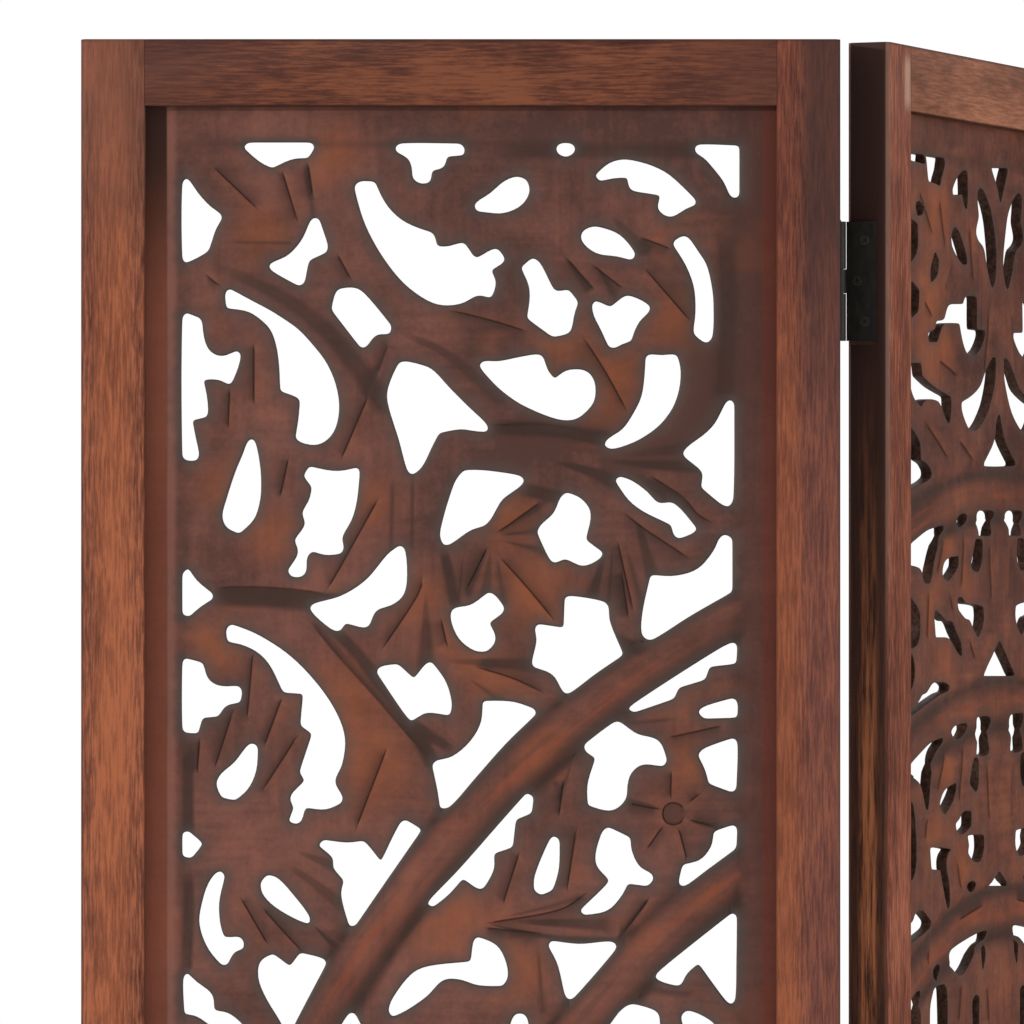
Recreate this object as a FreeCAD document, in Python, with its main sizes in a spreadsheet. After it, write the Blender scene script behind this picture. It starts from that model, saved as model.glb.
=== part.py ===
import FreeCAD, Part
import Sketcher
import math
import os

# A three-panel carved folding screen, standing half folded.
# Each panel is a mortised frame of two stiles and two rails round one pierced board.
# Two butt hinges join each wing to the middle panel: at the back on the left, at the front on the right.
# X runs along the wings, -Y is the front, and the middle panel's centre stands over the origin.

SIZES = [
    ("panel_width", 401.5, "width of one panel over its stiles"),
    ("panel_height", 1650, "height from the floor to the top of the stiles"),
    ("frame_thickness", 24, "depth of stiles and rails"),
    ("stile_width", 33.75, "face width of a stile"),
    ("rail_width", 35.2, "face width of a rail"),
    ("foot_height", 70, "clear height below the bottom rail"),
    ("eased_edge", 2.4, "chamfer on the outer edges of the stiles"),
    ("board_thickness", 7, "thickness of the carved board"),
    ("groove_depth", 8, "depth of the groove that holds the board"),
    ("groove_room", 0.2, "play of the board in its groove, each way"),
    ("border_width", 19.3, "plain margin between the frame and the piercings"),
    ("tenon_length", 18, "length of a rail's tenon"),
    ("tenon_thickness", 8, "thickness of a rail's tenon"),
    ("tenon_shoulder", 6, "shoulder above and below a tenon"),
    ("tenon_room", 0.2, "play of a tenon in its mortise"),
    ("panel_gap", 2.2, "gap between two panels that lie in line"),
    ("hinge_length", 63.5, "length of a hinge leaf"),
    ("hinge_inset", 127, "height from the end of the frame to the middle of a hinge"),
    ("leaf_thickness", 1.6, "thickness of a hinge leaf"),
    ("leaf_reach", 17, "width of a leaf on the edge of its stile"),
    ("gain_depth", 1, "depth that a leaf is let into its stile"),
    ("gain_room", 2.2, "length by which a gain runs on below its leaf"),
    ("barrel_radius", 3.2, "outer radius of the knuckles"),
    ("barrel_offset", 3.5, "distance of the pin beyond the face of the frame"),
    ("pin_radius", 1.7, "radius of a hinge pin"),
    ("pin_room", 0.05, "radial play of a pin in its knuckles"),
    ("knuckle_room", 0.3, "play between two knuckles"),
    ("fold_angle", 66, "angle between a wing and the line of the middle panel"),
    ("cut_overrun", 5, "length by which a cutter passes the face that it cuts"),
]

CENTRE_KNUCKLE_SHARE = 0.2

# Pixel places in the photograph of the left wing: its pierced field, and the centre of the carved rings.
FIELD_LEFT_PX = 182
FIELD_RIGHT_PX = 740
FIELD_TOP_PX = 143
FIELD_MIDDLE_PX = 1532
WING_RING_CENTRE_PX = (1222, FIELD_MIDDLE_PX)
MIDDLE_RING_CENTRE_PX = ((FIELD_LEFT_PX + FIELD_RIGHT_PX) / 2, FIELD_MIDDLE_PX)

# The middle panel is seen at a slant: pixel places of its field's left edge and of its axis,
# the pixel height of the eye, and how much smaller those two places look than the left wing.
SLANT_LEFT_PX = 908.8
SLANT_AXIS_PX = 1000.4
EYE_HEIGHT_PX = 512
SLANT_LEFT_SHARE = 0.982
SLANT_AXIS_SHARE = 0.944

# A point with this mark is the middle of an arc between its two neighbours.
ARC = "arc"

# Piercings of the left wing outside the first ring, from the top rail down to half height.
WING_CORNER_PIXELS = [
    [(396, 144), (464, 144), (432, 170), (420, 183), (408, 158)],
    [(182, 178), (222, 216), (209, 250), (182, 263)],
    [(316, 217), (328, 250), (302, 286), (268, 266), (297, 246)],
    [(356, 182), (376, 181), (395, 213), (434, 234), (477, 258), (501, 250), (492, 297), (465, 303),
     (398, 276, ARC)],
    [(597, 176), (620, 159), (652, 165), (697, 202), (670, 216), (660, 194)],
    [(522, 266), (536, 258), (556, 291), (579, 303), (570, 332), (553, 337), (527, 318)],
    [(593, 302), (611, 307), (626, 296), (651, 307), (633, 341), (612, 348)],
    [(226, 290), (303, 335, ARC), (338, 418), (318, 445), (296, 438), (280, 391), (252, 314)],
    [(331, 309), (340, 288), (357, 288), (392, 330), (363, 348)],
    [(182, 314), (200, 318), (218, 355), (240, 351), (230, 385), (203, 380), (198, 460), (182, 459)],
    [(387, 395), (402, 361), (432, 369), (489, 430), (440, 433), (413, 475)],
    [(480, 363), (540, 354), (555, 379), (577, 369), (596, 391), (576, 419), (529, 408)],
    [(646, 355), (680, 356), (680, 388), (660, 425), (606, 448), (634, 413)],
    [(727, 401), (735, 402), (733, 505), (703, 487), (684, 454)],
    [(250, 439), (260, 480), (239, 534), (223, 518)],
    [(306, 467), (359, 468), (342, 553), (312, 551), (302, 576), (288, 572)],
    [(440, 540), (449, 499), (464, 470), (524, 478), (487, 524)],
    [(538, 530), (567, 492), (588, 504), (586, 540), (603, 555), (553, 562)],
    [(309, 607), (366, 580), (402, 546), (405, 590), (366, 628), (338, 631)],
    [(532, 665), (536, 625), (564, 628), (567, 596), (608, 604), (624, 655), (566, 694)],
    [(642, 640), (652, 575), (698, 569), (722, 536), (733, 538), (733, 592)],
    [(227, 626), (305, 671, ARC), (345, 739), (342, 804), (292, 823), (304, 779), (312, 734), (283, 693)],
    [(182, 660), (203, 663), (241, 688), (202, 718), (197, 734), (182, 731)],
    [(377, 670), (398, 664), (414, 679), (430, 662), (451, 716), (411, 722)],
    [(432, 765), (470, 742), (483, 701), (537, 711), (475, 779), (444, 810)],
    [(320, 842), (365, 841), (381, 862), (404, 820), (422, 830), (352, 929)],
    [(258, 966), (271, 955), (290, 967), (327, 961), (288, 1036)],
    [(183, 975), (214, 1002), (252, 1036), (272, 1080), (262, 1107), (214, 1030), (184, 1015)],
    [(183, 1066), (219, 1128), (208, 1172), (183, 1200)],
    [(513, 1016), (528, 1017), (526, 1068), (506, 1098)],
]

# Vine and flower between the first two rings of the wing. It comes again, turned about the rings' centre.
WING_VINE_PIXELS = [
    [(630, 706), (734, 643), (738, 663), (675, 699)],
    [(585, 745), (618, 722), (659, 741), (667, 765), (632, 773), (610, 811), (588, 806)],
    [(428, 903), (503, 820), (533, 793), (513, 848), (482, 890), (463, 879)],
    [(604, 830), (631, 838), (654, 878), (608, 911), (581, 914), (609, 881)],
    [(680, 885), (684, 865), (714, 835), (738, 826), (737, 849)],
    [(548, 942), (618, 943), (570, 1001), (561, 972)],
    [(389, 1014), (411, 975), (471, 962), (477, 938), (506, 984), (443, 981)],
]
VINE_TURNS_DEG = (0, 30.5)

# Inside the second ring of the wing: piercings that the photograph shows, and leaves given as
# (degrees from the top, pixels from the rings' centre).
WING_INNER_PIXELS = [
    [(656, 977), (738, 914), (734, 1005), (699, 964), (682, 986)],
    [(607, 1030), (630, 1005), (659, 1014), (652, 1070), (630, 1085)],
    [(682, 1014), (714, 1024), (722, 1052), (700, 1060)],
]
WING_INNER_LEAVES_POLAR = [
    [(57, 742), (62, 780), (66, 750), (59, 705)],
    [(57, 675), (62, 690), (66, 660), (58, 648)],
]
INNER_LEAF_TURNS_DEG = (0, 20.8)
WING_HEART_POLAR = [
    [(67.8, 776), (75.8, 784), (77.8, 760), (69.8, 752)],
    [(68.8, 733), (73.8, 733), (74.8, 680), (68.8, 662)],
    [(68, 556), (76, 558), (77, 524), (71, 522)],
    [(79, 556), (87.5, 556), (87.5, 500), (80, 512)],
]

# Piercings of the middle panel's left half, from the top rail down to the last ring, and those on its axis.
MIDDLE_LEFT_PIXELS = [
    [(912, 153), (946, 158), (941, 186), (929, 181)],
    [(979, 189), (990, 203), (997, 257), (993, 288), (977, 233)],
    [(929, 341), (937, 321), (950, 305), (977, 297), (986, 332), (973, 356), (961, 324), (944, 324)],
    [(911, 363), (922, 363), (952, 397), (950, 424), (938, 401), (917, 401)],
    [(996, 357), (994, 390), (974, 430), (962, 403), (981, 386)],
    [(911, 428), (921, 446), (932, 474), (911, 488)],
    [(911, 544), (944, 525), (931, 584), (911, 566)],
    [(978, 511), (995, 511), (992, 536), (979, 536)],
    [(944, 574), (950, 557), (960, 560), (949, 581)],
    [(958, 598), (984, 607), (979, 638), (959, 609)],
    [(936, 610), (953, 622), (963, 656), (936, 638)],
    [(911, 714), (934, 683), (950, 686), (942, 694)],
    [(911, 764), (943, 739), (930, 806), (911, 774)],
    [(978, 717), (991, 718), (991, 754), (978, 755)],
    [(940, 804), (957, 781), (957, 796), (944, 813)],
    [(957, 824), (972, 808), (971, 833), (958, 834)],
    [(969, 836), (984, 836), (982, 866), (969, 852)],
    [(931, 848), (951, 850), (946, 872), (932, 870)],
    [(911, 922), (924, 912), (933, 924), (911, 945)],
    [(949, 955), (987, 930), (974, 956), (957, 975)],
    [(934, 992), (946, 986), (945, 1058), (934, 1060)],
    [(911, 1002), (921, 990), (921, 1040), (911, 1052)],
]
MIDDLE_AXIS_PIXELS = [
    [(992, 168), (1009, 168), (1001, 204)],
    [(1000, 413), (1016, 465), (984, 465)],
    [(1000, 640), (1016, 676), (984, 676)],
    [(1000, 871), (1010, 886), (990, 886)],
]

# The rose at the middle of the rings: petals and the leaves round them, as
# (degrees from the petal's own line, pixels from the rings' centre).
PETAL_POLAR = [(0, 66), (9, 115), (0, 152), (-9, 115)]
ROSE_LEAF_POLAR = [(0, 180), (7, 215), (0, 320), (-7, 215)]
SIDE_LEAF_POLAR = [(0, 175), (7, 205), (0, 275), (-7, 205)]
QUARTER_PETAL_DEG = (30, 60)
SIDE_PETAL_DEG = 90
ROSE_LEAF_DEG = (15, 45)
SIDE_LEAF_DEG = 75

doc = FreeCAD.newDocument("carved_folding_screen")
sheet = doc.addObject("Spreadsheet::Sheet", "sizes")
for row, (alias, value, meaning) in enumerate(SIZES, start=1):
    sheet.set(f"A{row}", meaning)
    sheet.set(f"B{row}", str(value))
    sheet.setAlias(f"B{row}", alias)
doc.recompute()


def size(alias):
    return float(sheet.get(alias))


def cells(text):
    """Turn plain aliases in a formula into cells of the sheet."""
    words = text.replace("(", " ( ").replace(")", " ) ").split()
    aliases = {alias for alias, value, meaning in SIZES}
    return " ".join(f"sizes.{word}" if word in aliases else word for word in words)


def bind(thing, path, formula):
    thing.setExpression(path, cells(formula))


# Panels

def panel_pin(hand, face):
    """Place of a panel's hinge pin in the panel's own frame: hand -1 left, 1 right; face -1 front, 1 back."""
    across = hand * (size("panel_width") + size("panel_gap")) / 2
    deep = face * (size("frame_thickness") / 2 + size("barrel_offset"))
    return FreeCAD.Vector(across, deep, 0)


middle_turn = FreeCAD.Rotation(FreeCAD.Vector(0, 0, 1), size("fold_angle"))
middle_place = FreeCAD.Placement(FreeCAD.Vector(), middle_turn)
LEFT_JOINT_FACE = 1
RIGHT_JOINT_FACE = -1
left_pin_place = middle_place.multVec(panel_pin(-1, LEFT_JOINT_FACE))
right_pin_place = middle_place.multVec(panel_pin(1, RIGHT_JOINT_FACE))
PLACES = {
    "left": FreeCAD.Placement(left_pin_place - panel_pin(1, LEFT_JOINT_FACE), FreeCAD.Rotation()),
    "middle": middle_place,
    "right": FreeCAD.Placement(right_pin_place - panel_pin(-1, RIGHT_JOINT_FACE), FreeCAD.Rotation()),
}

pieces = []


def finish(piece, label, panel):
    """Name a finished piece and stand it in its panel."""
    piece.Label = label
    piece.Placement = PLACES[panel]
    pieces.append(piece)


# Bars of the frame

def origin_plane(body, role):
    for feature in body.Origin.OriginFeatures:
        if feature.Role == role:
            return feature
    raise LookupError(role)


def outline_sketch(body, role, start, corners):
    """Closed outline on an origin plane, raised to a start, with every corner bound to the sheet."""
    sketch = body.newObject("Sketcher::SketchObject", "outline")
    sketch.AttachmentSupport = [(origin_plane(body, role), "")]
    sketch.MapMode = "FlatFace"
    bind(sketch, "AttachmentOffset.Base.z", start)
    scratch = [FreeCAD.Vector(math.cos(turn), math.sin(turn), 0) * size("stile_width")
               for turn in (2 * math.pi * step / len(corners) for step in range(len(corners)))]
    for step, point in enumerate(scratch):
        sketch.addGeometry(Part.LineSegment(point, scratch[(step + 1) % len(scratch)]))
    for step in range(len(corners)):
        sketch.addConstraint(Sketcher.Constraint("Coincident", step, 2, (step + 1) % len(corners), 1))
    for step, (across, up) in enumerate(corners):
        spots = (("DistanceX", across, scratch[step].x), ("DistanceY", up, scratch[step].y))
        for kind, formula, now in spots:
            spot = sketch.addConstraint(Sketcher.Constraint(kind, -1, 1, step, 1, now))
            bind(sketch, f"Constraints[{spot}]", formula)
    return sketch


def pad(body, sketch, length):
    feature = body.newObject("PartDesign::Pad", "length")
    feature.Profile = sketch
    bind(feature, "Length", length)
    return feature


def block(body, kind, name, low, high):
    """A box added to a body or cut from it, between two corners."""
    feature = body.newObject(f"PartDesign::{kind}Box", name)
    for axis, side, start, end in zip("xyz", ("Length", "Width", "Height"), low, high):
        bind(feature, side, f"({end}) - ({start})")
        bind(feature, f"Placement.Base.{axis}", start)
    return feature


FRONT = "( 0 - frame_thickness / 2 )"
BACK = "( frame_thickness / 2 )"
BOARD_FRONT = "( 0 - board_thickness / 2 )"
BOARD_BACK = "( board_thickness / 2 )"
INNER_HALF = "( panel_width / 2 - stile_width )"
BOTTOM_RAIL_TOP = "( foot_height + rail_width )"
TOP_RAIL_BOTTOM = "( panel_height - rail_width )"
TENON_FRONT = "( 0 - tenon_thickness / 2 )"
TENON_BACK = "( tenon_thickness / 2 )"
HINGE_HEIGHTS = {
    "lower": "( foot_height + hinge_inset )",
    "upper": "( panel_height - hinge_inset )",
}


def rails():
    """Bottom and top of the two rails."""
    return (("bottom", "foot_height", BOTTOM_RAIL_TOP), ("top", TOP_RAIL_BOTTOM, "panel_height"))


def handed(hand, near, far):
    """The lower and the higher of two distances from the panel's axis, on one side of it."""
    if hand > 0:
        return near, far
    return f"( 0 - {far} )", f"( 0 - {near} )"


def stile_section(hand):
    """Corners of a stile's section: square beside the board, eased on the two outer edges."""
    low, high = handed(hand, INNER_HALF, "( panel_width / 2 )")
    if hand > 0:
        return [(low, FRONT), (f"{high} - eased_edge", FRONT), (high, f"{FRONT} + eased_edge"),
                (high, f"{BACK} - eased_edge"), (f"{high} - eased_edge", BACK), (low, BACK)]
    return [(high, FRONT), (high, BACK), (f"{low} + eased_edge", BACK), (low, f"{BACK} - eased_edge"),
            (low, f"{FRONT} + eased_edge"), (f"{low} + eased_edge", FRONT)]


def stile(panel, side, hand, hinge_face):
    """Upright bar with the groove, the mortises and, on a hinged edge, the gains for the leaves."""
    body = doc.addObject("PartDesign::Body", f"{panel}_{side}_stile")
    pad(body, outline_sketch(body, "XY_Plane", "0", stile_section(hand)), "panel_height")
    cut_start = f"( {INNER_HALF} - cut_overrun )"
    low, high = handed(hand, cut_start, f"( {INNER_HALF} + groove_depth + groove_room )")
    block(body, "Subtractive", "groove",
          (low, f"{BOARD_FRONT} - groove_room", f"{BOTTOM_RAIL_TOP} - groove_depth - groove_room"),
          (high, f"{BOARD_BACK} + groove_room", f"{TOP_RAIL_BOTTOM} + groove_depth + groove_room"))
    low, high = handed(hand, cut_start, f"( {INNER_HALF} + tenon_length + tenon_room )")
    for end, bottom, top in rails():
        block(body, "Subtractive", f"{end}_mortise",
              (low, f"{TENON_FRONT} - tenon_room", f"{bottom} + tenon_shoulder - tenon_room"),
              (high, f"{TENON_BACK} + tenon_room", f"{top} - tenon_shoulder + tenon_room"))
    if hinge_face:
        low, high = handed(hand, "( panel_width / 2 - gain_depth )", "( panel_width / 2 + cut_overrun )")
        front, back = handed(hinge_face, f"( {BACK} - leaf_reach )", f"( {BACK} + cut_overrun )")
        for height in HINGE_HEIGHTS.values():
            block(body, "Subtractive", "gain",
                  (low, front, f"{height} - hinge_length / 2 - gain_room"),
                  (high, back, f"{height} + hinge_length / 2"))
    finish(body, f"{panel}_panel_{side}_stile", panel)


def rail(panel, end, bottom, top, groove_low, groove_high):
    """Cross bar with a tenon at each end and the groove along its inner edge."""
    body = doc.addObject("PartDesign::Body", f"{panel}_{end}_rail")
    section = [(FRONT, bottom), (BACK, bottom), (BACK, top), (FRONT, top)]
    pad(body, outline_sketch(body, "YZ_Plane", f"0 - {INNER_HALF}", section), f"2 * {INNER_HALF}")
    for side, hand in (("left", -1), ("right", 1)):
        low, high = handed(hand, INNER_HALF, f"( {INNER_HALF} + tenon_length )")
        block(body, "Additive", f"{side}_tenon",
              (low, TENON_FRONT, f"{bottom} + tenon_shoulder"),
              (high, TENON_BACK, f"{top} - tenon_shoulder"))
    reach = f"( {INNER_HALF} + tenon_length + cut_overrun )"
    block(body, "Subtractive", "groove",
          (f"0 - {reach}", f"{BOARD_FRONT} - groove_room", groove_low),
          (reach, f"{BOARD_BACK} + groove_room", groove_high))
    finish(body, f"{panel}_panel_{end}_rail", panel)


def frame(panel, left_hinge_face, right_hinge_face):
    stile(panel, "left", -1, left_hinge_face)
    stile(panel, "right", 1, right_hinge_face)
    for end, bottom, top in rails():
        if end == "bottom":
            groove = (f"{top} - groove_depth - groove_room", f"{top} + cut_overrun")
        else:
            groove = (f"{bottom} - cut_overrun", f"{bottom} + groove_depth + groove_room")
        rail(panel, end, bottom, top, *groove)


# Carved boards

def turned(point, centre, degrees):
    """A pixel point turned about the rings' centre, towards the left and down."""
    turn = math.radians(degrees)
    across = point[0] - centre[0]
    down = point[1] - centre[1]
    spot = (centre[0] + across * math.cos(turn) + down * math.sin(turn),
            centre[1] - across * math.sin(turn) + down * math.cos(turn))
    return spot + tuple(point[2:])


def polar_point(point, centre, degrees):
    turn = math.radians(point[0] + degrees)
    return centre[0] - point[1] * math.sin(turn), centre[1] - point[1] * math.cos(turn)


def unslanted(point):
    """A pixel point of the slanted middle panel, as it lies when that panel is seen square on."""
    from_left = (point[0] - SLANT_LEFT_PX) * SLANT_AXIS_SHARE
    to_axis = (SLANT_AXIS_PX - point[0]) * SLANT_LEFT_SHARE
    along = from_left / (from_left + to_axis)
    scale = 1 / ((1 - along) / SLANT_LEFT_SHARE + along / SLANT_AXIS_SHARE)
    across = FIELD_LEFT_PX + along * (MIDDLE_RING_CENTRE_PX[0] - FIELD_LEFT_PX)
    return across, EYE_HEIGHT_PX + (point[1] - EYE_HEIGHT_PX) / scale


def mirrored(outline, centre, across, down):
    """An outline mirrored across the vertical axis or down to the lower half of the board."""
    return [((2 * centre[0] - point[0] if across else point[0]),
             (2 * centre[1] - point[1] if down else point[1])) + tuple(point[2:]) for point in outline]


def wing_outlines():
    centre = WING_RING_CENTRE_PX
    upper = list(WING_CORNER_PIXELS)
    for degrees in VINE_TURNS_DEG:
        upper += [[turned(point, centre, degrees) for point in outline] for outline in WING_VINE_PIXELS]
    upper += WING_INNER_PIXELS
    for degrees in INNER_LEAF_TURNS_DEG:
        upper += [[polar_point(point, centre, degrees) for point in leaf] for leaf in WING_INNER_LEAVES_POLAR]
    upper += [[polar_point(point, centre, 0) for point in leaf] for leaf in WING_HEART_POLAR]
    return upper + [mirrored(outline, centre, False, True) for outline in upper]


def middle_outlines():
    centre = MIDDLE_RING_CENTRE_PX
    quarter = [[unslanted(point) for point in outline] for outline in MIDDLE_LEFT_PIXELS]
    axis = [[unslanted(point) for point in outline] for outline in MIDDLE_AXIS_PIXELS]
    for degrees in QUARTER_PETAL_DEG:
        quarter.append([polar_point(point, centre, degrees) for point in PETAL_POLAR])
    for degrees in ROSE_LEAF_DEG:
        quarter.append([polar_point(point, centre, degrees) for point in ROSE_LEAF_POLAR])
    quarter.append([polar_point(point, centre, SIDE_LEAF_DEG) for point in SIDE_LEAF_POLAR])
    axis.append([polar_point(point, centre, 0) for point in PETAL_POLAR])
    side = [polar_point(point, centre, SIDE_PETAL_DEG) for point in PETAL_POLAR]
    outlines = [side, mirrored(side, centre, True, False)]
    for outline in axis:
        outlines += [outline, mirrored(outline, centre, False, True)]
    for outline in quarter:
        for across in (False, True):
            outlines += [mirrored(outline, centre, across, False), mirrored(outline, centre, across, True)]
    return outlines


def field_width():
    return size("panel_width") - 2 * size("stile_width") - 2 * size("border_width")


def field_half_height():
    clear = size("panel_height") - size("foot_height") - 2 * size("rail_width")
    return clear / 2 - size("border_width")


def on_board(point, flip):
    """A pixel point as a place on the board's front cutting plane."""
    across_share = (point[0] - FIELD_LEFT_PX) / (FIELD_RIGHT_PX - FIELD_LEFT_PX) - 1 / 2
    down_share = (FIELD_MIDDLE_PX - point[1]) / (FIELD_MIDDLE_PX - FIELD_TOP_PX)
    middle_height = (size("panel_height") + size("foot_height")) / 2
    return FreeCAD.Vector(
        (-1 if flip else 1) * across_share * field_width(),
        -size("board_thickness") / 2 - size("cut_overrun"),
        middle_height + down_share * field_half_height())


def outline_wire(outline, flip):
    """Closed wire of straight edges and arcs through an outline's points."""
    points = [on_board(point, flip) for point in outline]
    marked = [len(point) > 2 for point in outline]
    edges = []
    count = len(points)
    for step in range(count):
        after = (step + 1) % count
        if marked[step]:
            continue
        if marked[after]:
            edges.append(Part.Arc(points[step], points[after], points[(step + 2) % count]).toShape())
        else:
            edges.append(Part.LineSegment(points[step], points[after]).toShape())
    return Part.Wire(Part.__sortEdges__(edges))


def carved_board(panel, outlines, flip):
    """Board that fills the grooves, pierced by the carver's outlines."""
    blank = doc.addObject("Part::Box", f"{panel}_blank")
    low = (f"0 - {INNER_HALF} - groove_depth", BOARD_FRONT, f"{BOTTOM_RAIL_TOP} - groove_depth")
    high = (f"{INNER_HALF} + groove_depth", BOARD_BACK, f"{TOP_RAIL_BOTTOM} + groove_depth")
    for axis, side, start, end in zip("xyz", ("Length", "Width", "Height"), low, high):
        bind(blank, side, f"({end}) - ({start})")
        bind(blank, f"Placement.Base.{axis}", start)
    through = FreeCAD.Vector(0, size("board_thickness") + 2 * size("cut_overrun"), 0)
    cutters = doc.addObject("Part::Feature", f"{panel}_piercings")
    cutters.Shape = Part.makeCompound(
        [Part.Face(outline_wire(outline, flip)).extrude(through) for outline in outlines])
    board = doc.addObject("Part::Cut", f"{panel}_board")
    board.Base = blank
    board.Tool = cutters
    finish(board, f"{panel}_panel_carved_board", panel)


# Hinges

def placed(kind, name, sizes, base):
    """A Part primitive whose sizes and place are bound to the sheet."""
    thing = doc.addObject(f"Part::{kind}", name)
    for path, formula in sizes.items():
        bind(thing, path, formula)
    for axis, formula in zip("xyz", base):
        bind(thing, f"Placement.Base.{axis}", formula)
    return thing


def pin_line(hand, face):
    """Formulas for a pin's place across and through a panel."""
    side = "" if hand > 0 else "0 - "
    deep = "" if face > 0 else "0 - "
    return f"{side}( panel_width + panel_gap ) / 2", f"{deep}( frame_thickness / 2 + barrel_offset )"


def knuckle_spans(height, centre_knuckle):
    """Lower and upper ends of a leaf's own knuckles: the one in the middle, or the two at the ends."""
    half_centre = f"hinge_length * {CENTRE_KNUCKLE_SHARE} / 2"
    if centre_knuckle:
        return [(f"{height} - {half_centre}", f"{height} + {half_centre}")]
    return [
        (f"{height} - hinge_length / 2", f"{height} - {half_centre} - knuckle_room"),
        (f"{height} + {half_centre} + knuckle_room", f"{height} + hinge_length / 2"),
    ]


def box_between(name, low, high):
    sides = ("Length", "Width", "Height")
    sizes = {side: f"({end}) - ({start})" for side, start, end in zip(sides, low, high)}
    return placed("Box", name, sizes, low)


def pin(name, hand, face, height):
    """Round pin as long as the hinge."""
    body = doc.addObject("PartDesign::Body", name)
    shank = body.newObject("PartDesign::AdditiveCylinder", "shank")
    bind(shank, "Radius", "pin_radius")
    bind(shank, "Height", "hinge_length")
    for axis, formula in zip("xyz", pin_line(hand, face) + (f"{height} - hinge_length / 2",)):
        bind(shank, f"Placement.Base.{axis}", formula)
    return body


def leaf(name, hand, face, height, centre_knuckle):
    """Plate let into the stile's edge, with a tab to each of its knuckles and the bore for the pin."""
    pin_x, pin_y = pin_line(hand, face)
    seat = "( panel_width / 2 - gain_depth )"
    low, high = handed(hand, seat, f"( {seat} + leaf_thickness )")
    front, back = handed(face, f"( {BACK} - leaf_reach )", BACK)
    bottom = f"{height} - hinge_length / 2"
    top = f"{height} + hinge_length / 2"
    solids = [box_between(f"{name}_plate", (low, front, bottom), (high, back, top))]
    front, back = handed(face, BACK, f"( {BACK} + barrel_offset )")
    for start, end in knuckle_spans(height, centre_knuckle):
        solids.append(box_between(f"{name}_tab", (low, front, start), (high, back, end)))
        barrel = {"Radius": "barrel_radius", "Height": f"({end}) - ({start})"}
        solids.append(placed("Cylinder", f"{name}_knuckle", barrel, (pin_x, pin_y, start)))
    whole = doc.addObject("Part::MultiFuse", f"{name}_whole")
    whole.Shapes = solids
    whole.Refine = True
    bore = placed("Cylinder", f"{name}_bore",
                  {"Radius": "pin_radius + pin_room", "Height": "hinge_length + 2 * cut_overrun"},
                  (pin_x, pin_y, f"{bottom} - cut_overrun"))
    drilled = doc.addObject("Part::Cut", name)
    drilled.Base = whole
    drilled.Tool = bore
    drilled.Refine = True
    return drilled


def hinges(side, wing_hand, face):
    """The hinges of one joint: a leaf on the wing, a leaf on the middle panel, and the pin."""
    for level, height in HINGE_HEIGHTS.items():
        name = f"{side}_{level}_hinge"
        finish(leaf(f"{name}_wing_leaf", wing_hand, face, height, False), f"{name}_wing_leaf", side)
        finish(leaf(f"{name}_middle_leaf", -wing_hand, face, height, True), f"{name}_middle_leaf", "middle")
        finish(pin(f"{name}_pin", wing_hand, face, height), f"{name}_pin", side)


frame("left", 0, LEFT_JOINT_FACE)
frame("middle", LEFT_JOINT_FACE, RIGHT_JOINT_FACE)
frame("right", RIGHT_JOINT_FACE, 0)
carved_board("left", wing_outlines(), False)
carved_board("middle", middle_outlines(), False)
carved_board("right", wing_outlines(), True)
hinges("left", 1, LEFT_JOINT_FACE)
hinges("right", -1, RIGHT_JOINT_FACE)
doc.recompute()

for thing in doc.Objects:
    if "Invalid" in thing.State or "Error" in thing.State:
        raise RuntimeError(f"{thing.Name} failed: {thing.State}")
for piece in pieces:
    shape = piece.Shape
    if shape.isNull() or not shape.isValid():
        raise RuntimeError(f"{piece.Label} has no valid shape")
    if len(shape.Solids) != 1:
        raise RuntimeError(f"{piece.Label} has {len(shape.Solids)} solids, not one")

os.makedirs("parts", exist_ok=True)
for piece in pieces:
    piece.Shape.exportStep(f"parts/{piece.Label}.step")
    print(piece.Label, [round(value, 1) for value in (piece.Shape.BoundBox.XLength,
                                                    piece.Shape.BoundBox.YLength,
                                                    piece.Shape.BoundBox.ZLength)])
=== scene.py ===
import math

import bmesh
import bpy
import numpy as np
from mathutils import Matrix, Vector, noise
from mathutils.geometry import delaunay_2d_cdt
from mathutils.kdtree import KDTree


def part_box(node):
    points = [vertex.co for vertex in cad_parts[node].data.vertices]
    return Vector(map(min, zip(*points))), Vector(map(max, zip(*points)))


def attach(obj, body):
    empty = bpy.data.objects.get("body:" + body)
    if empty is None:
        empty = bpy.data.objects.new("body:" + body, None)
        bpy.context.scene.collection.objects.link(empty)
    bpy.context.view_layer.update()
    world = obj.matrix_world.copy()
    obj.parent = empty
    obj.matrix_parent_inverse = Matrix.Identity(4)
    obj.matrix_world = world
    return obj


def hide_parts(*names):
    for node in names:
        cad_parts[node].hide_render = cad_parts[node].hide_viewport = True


# A three-panel carved folding screen in stained wood, with black butt hinges.
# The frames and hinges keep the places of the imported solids; the boards get their carving here.

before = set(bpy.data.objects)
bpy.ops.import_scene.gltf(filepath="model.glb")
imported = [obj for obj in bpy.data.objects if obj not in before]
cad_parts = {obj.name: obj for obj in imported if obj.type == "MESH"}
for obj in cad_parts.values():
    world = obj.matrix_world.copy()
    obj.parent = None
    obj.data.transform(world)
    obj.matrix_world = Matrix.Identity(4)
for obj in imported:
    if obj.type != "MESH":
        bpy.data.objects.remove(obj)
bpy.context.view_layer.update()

MM = 0.001

# Pixel places in the photograph of the left wing: its pierced field, and the centre of the carved rings.
FIELD_LEFT_PX = 182
FIELD_RIGHT_PX = 740
FIELD_TOP_PX = 143
FIELD_MIDDLE_PX = 1532
WING_RING_CENTRE_PX = (1222, FIELD_MIDDLE_PX)
MIDDLE_RING_CENTRE_PX = ((FIELD_LEFT_PX + FIELD_RIGHT_PX) / 2, FIELD_MIDDLE_PX)
RING_EDGES_PX = ((1061, 1012), (840, 791), (620, 571), (400, 351))

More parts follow.
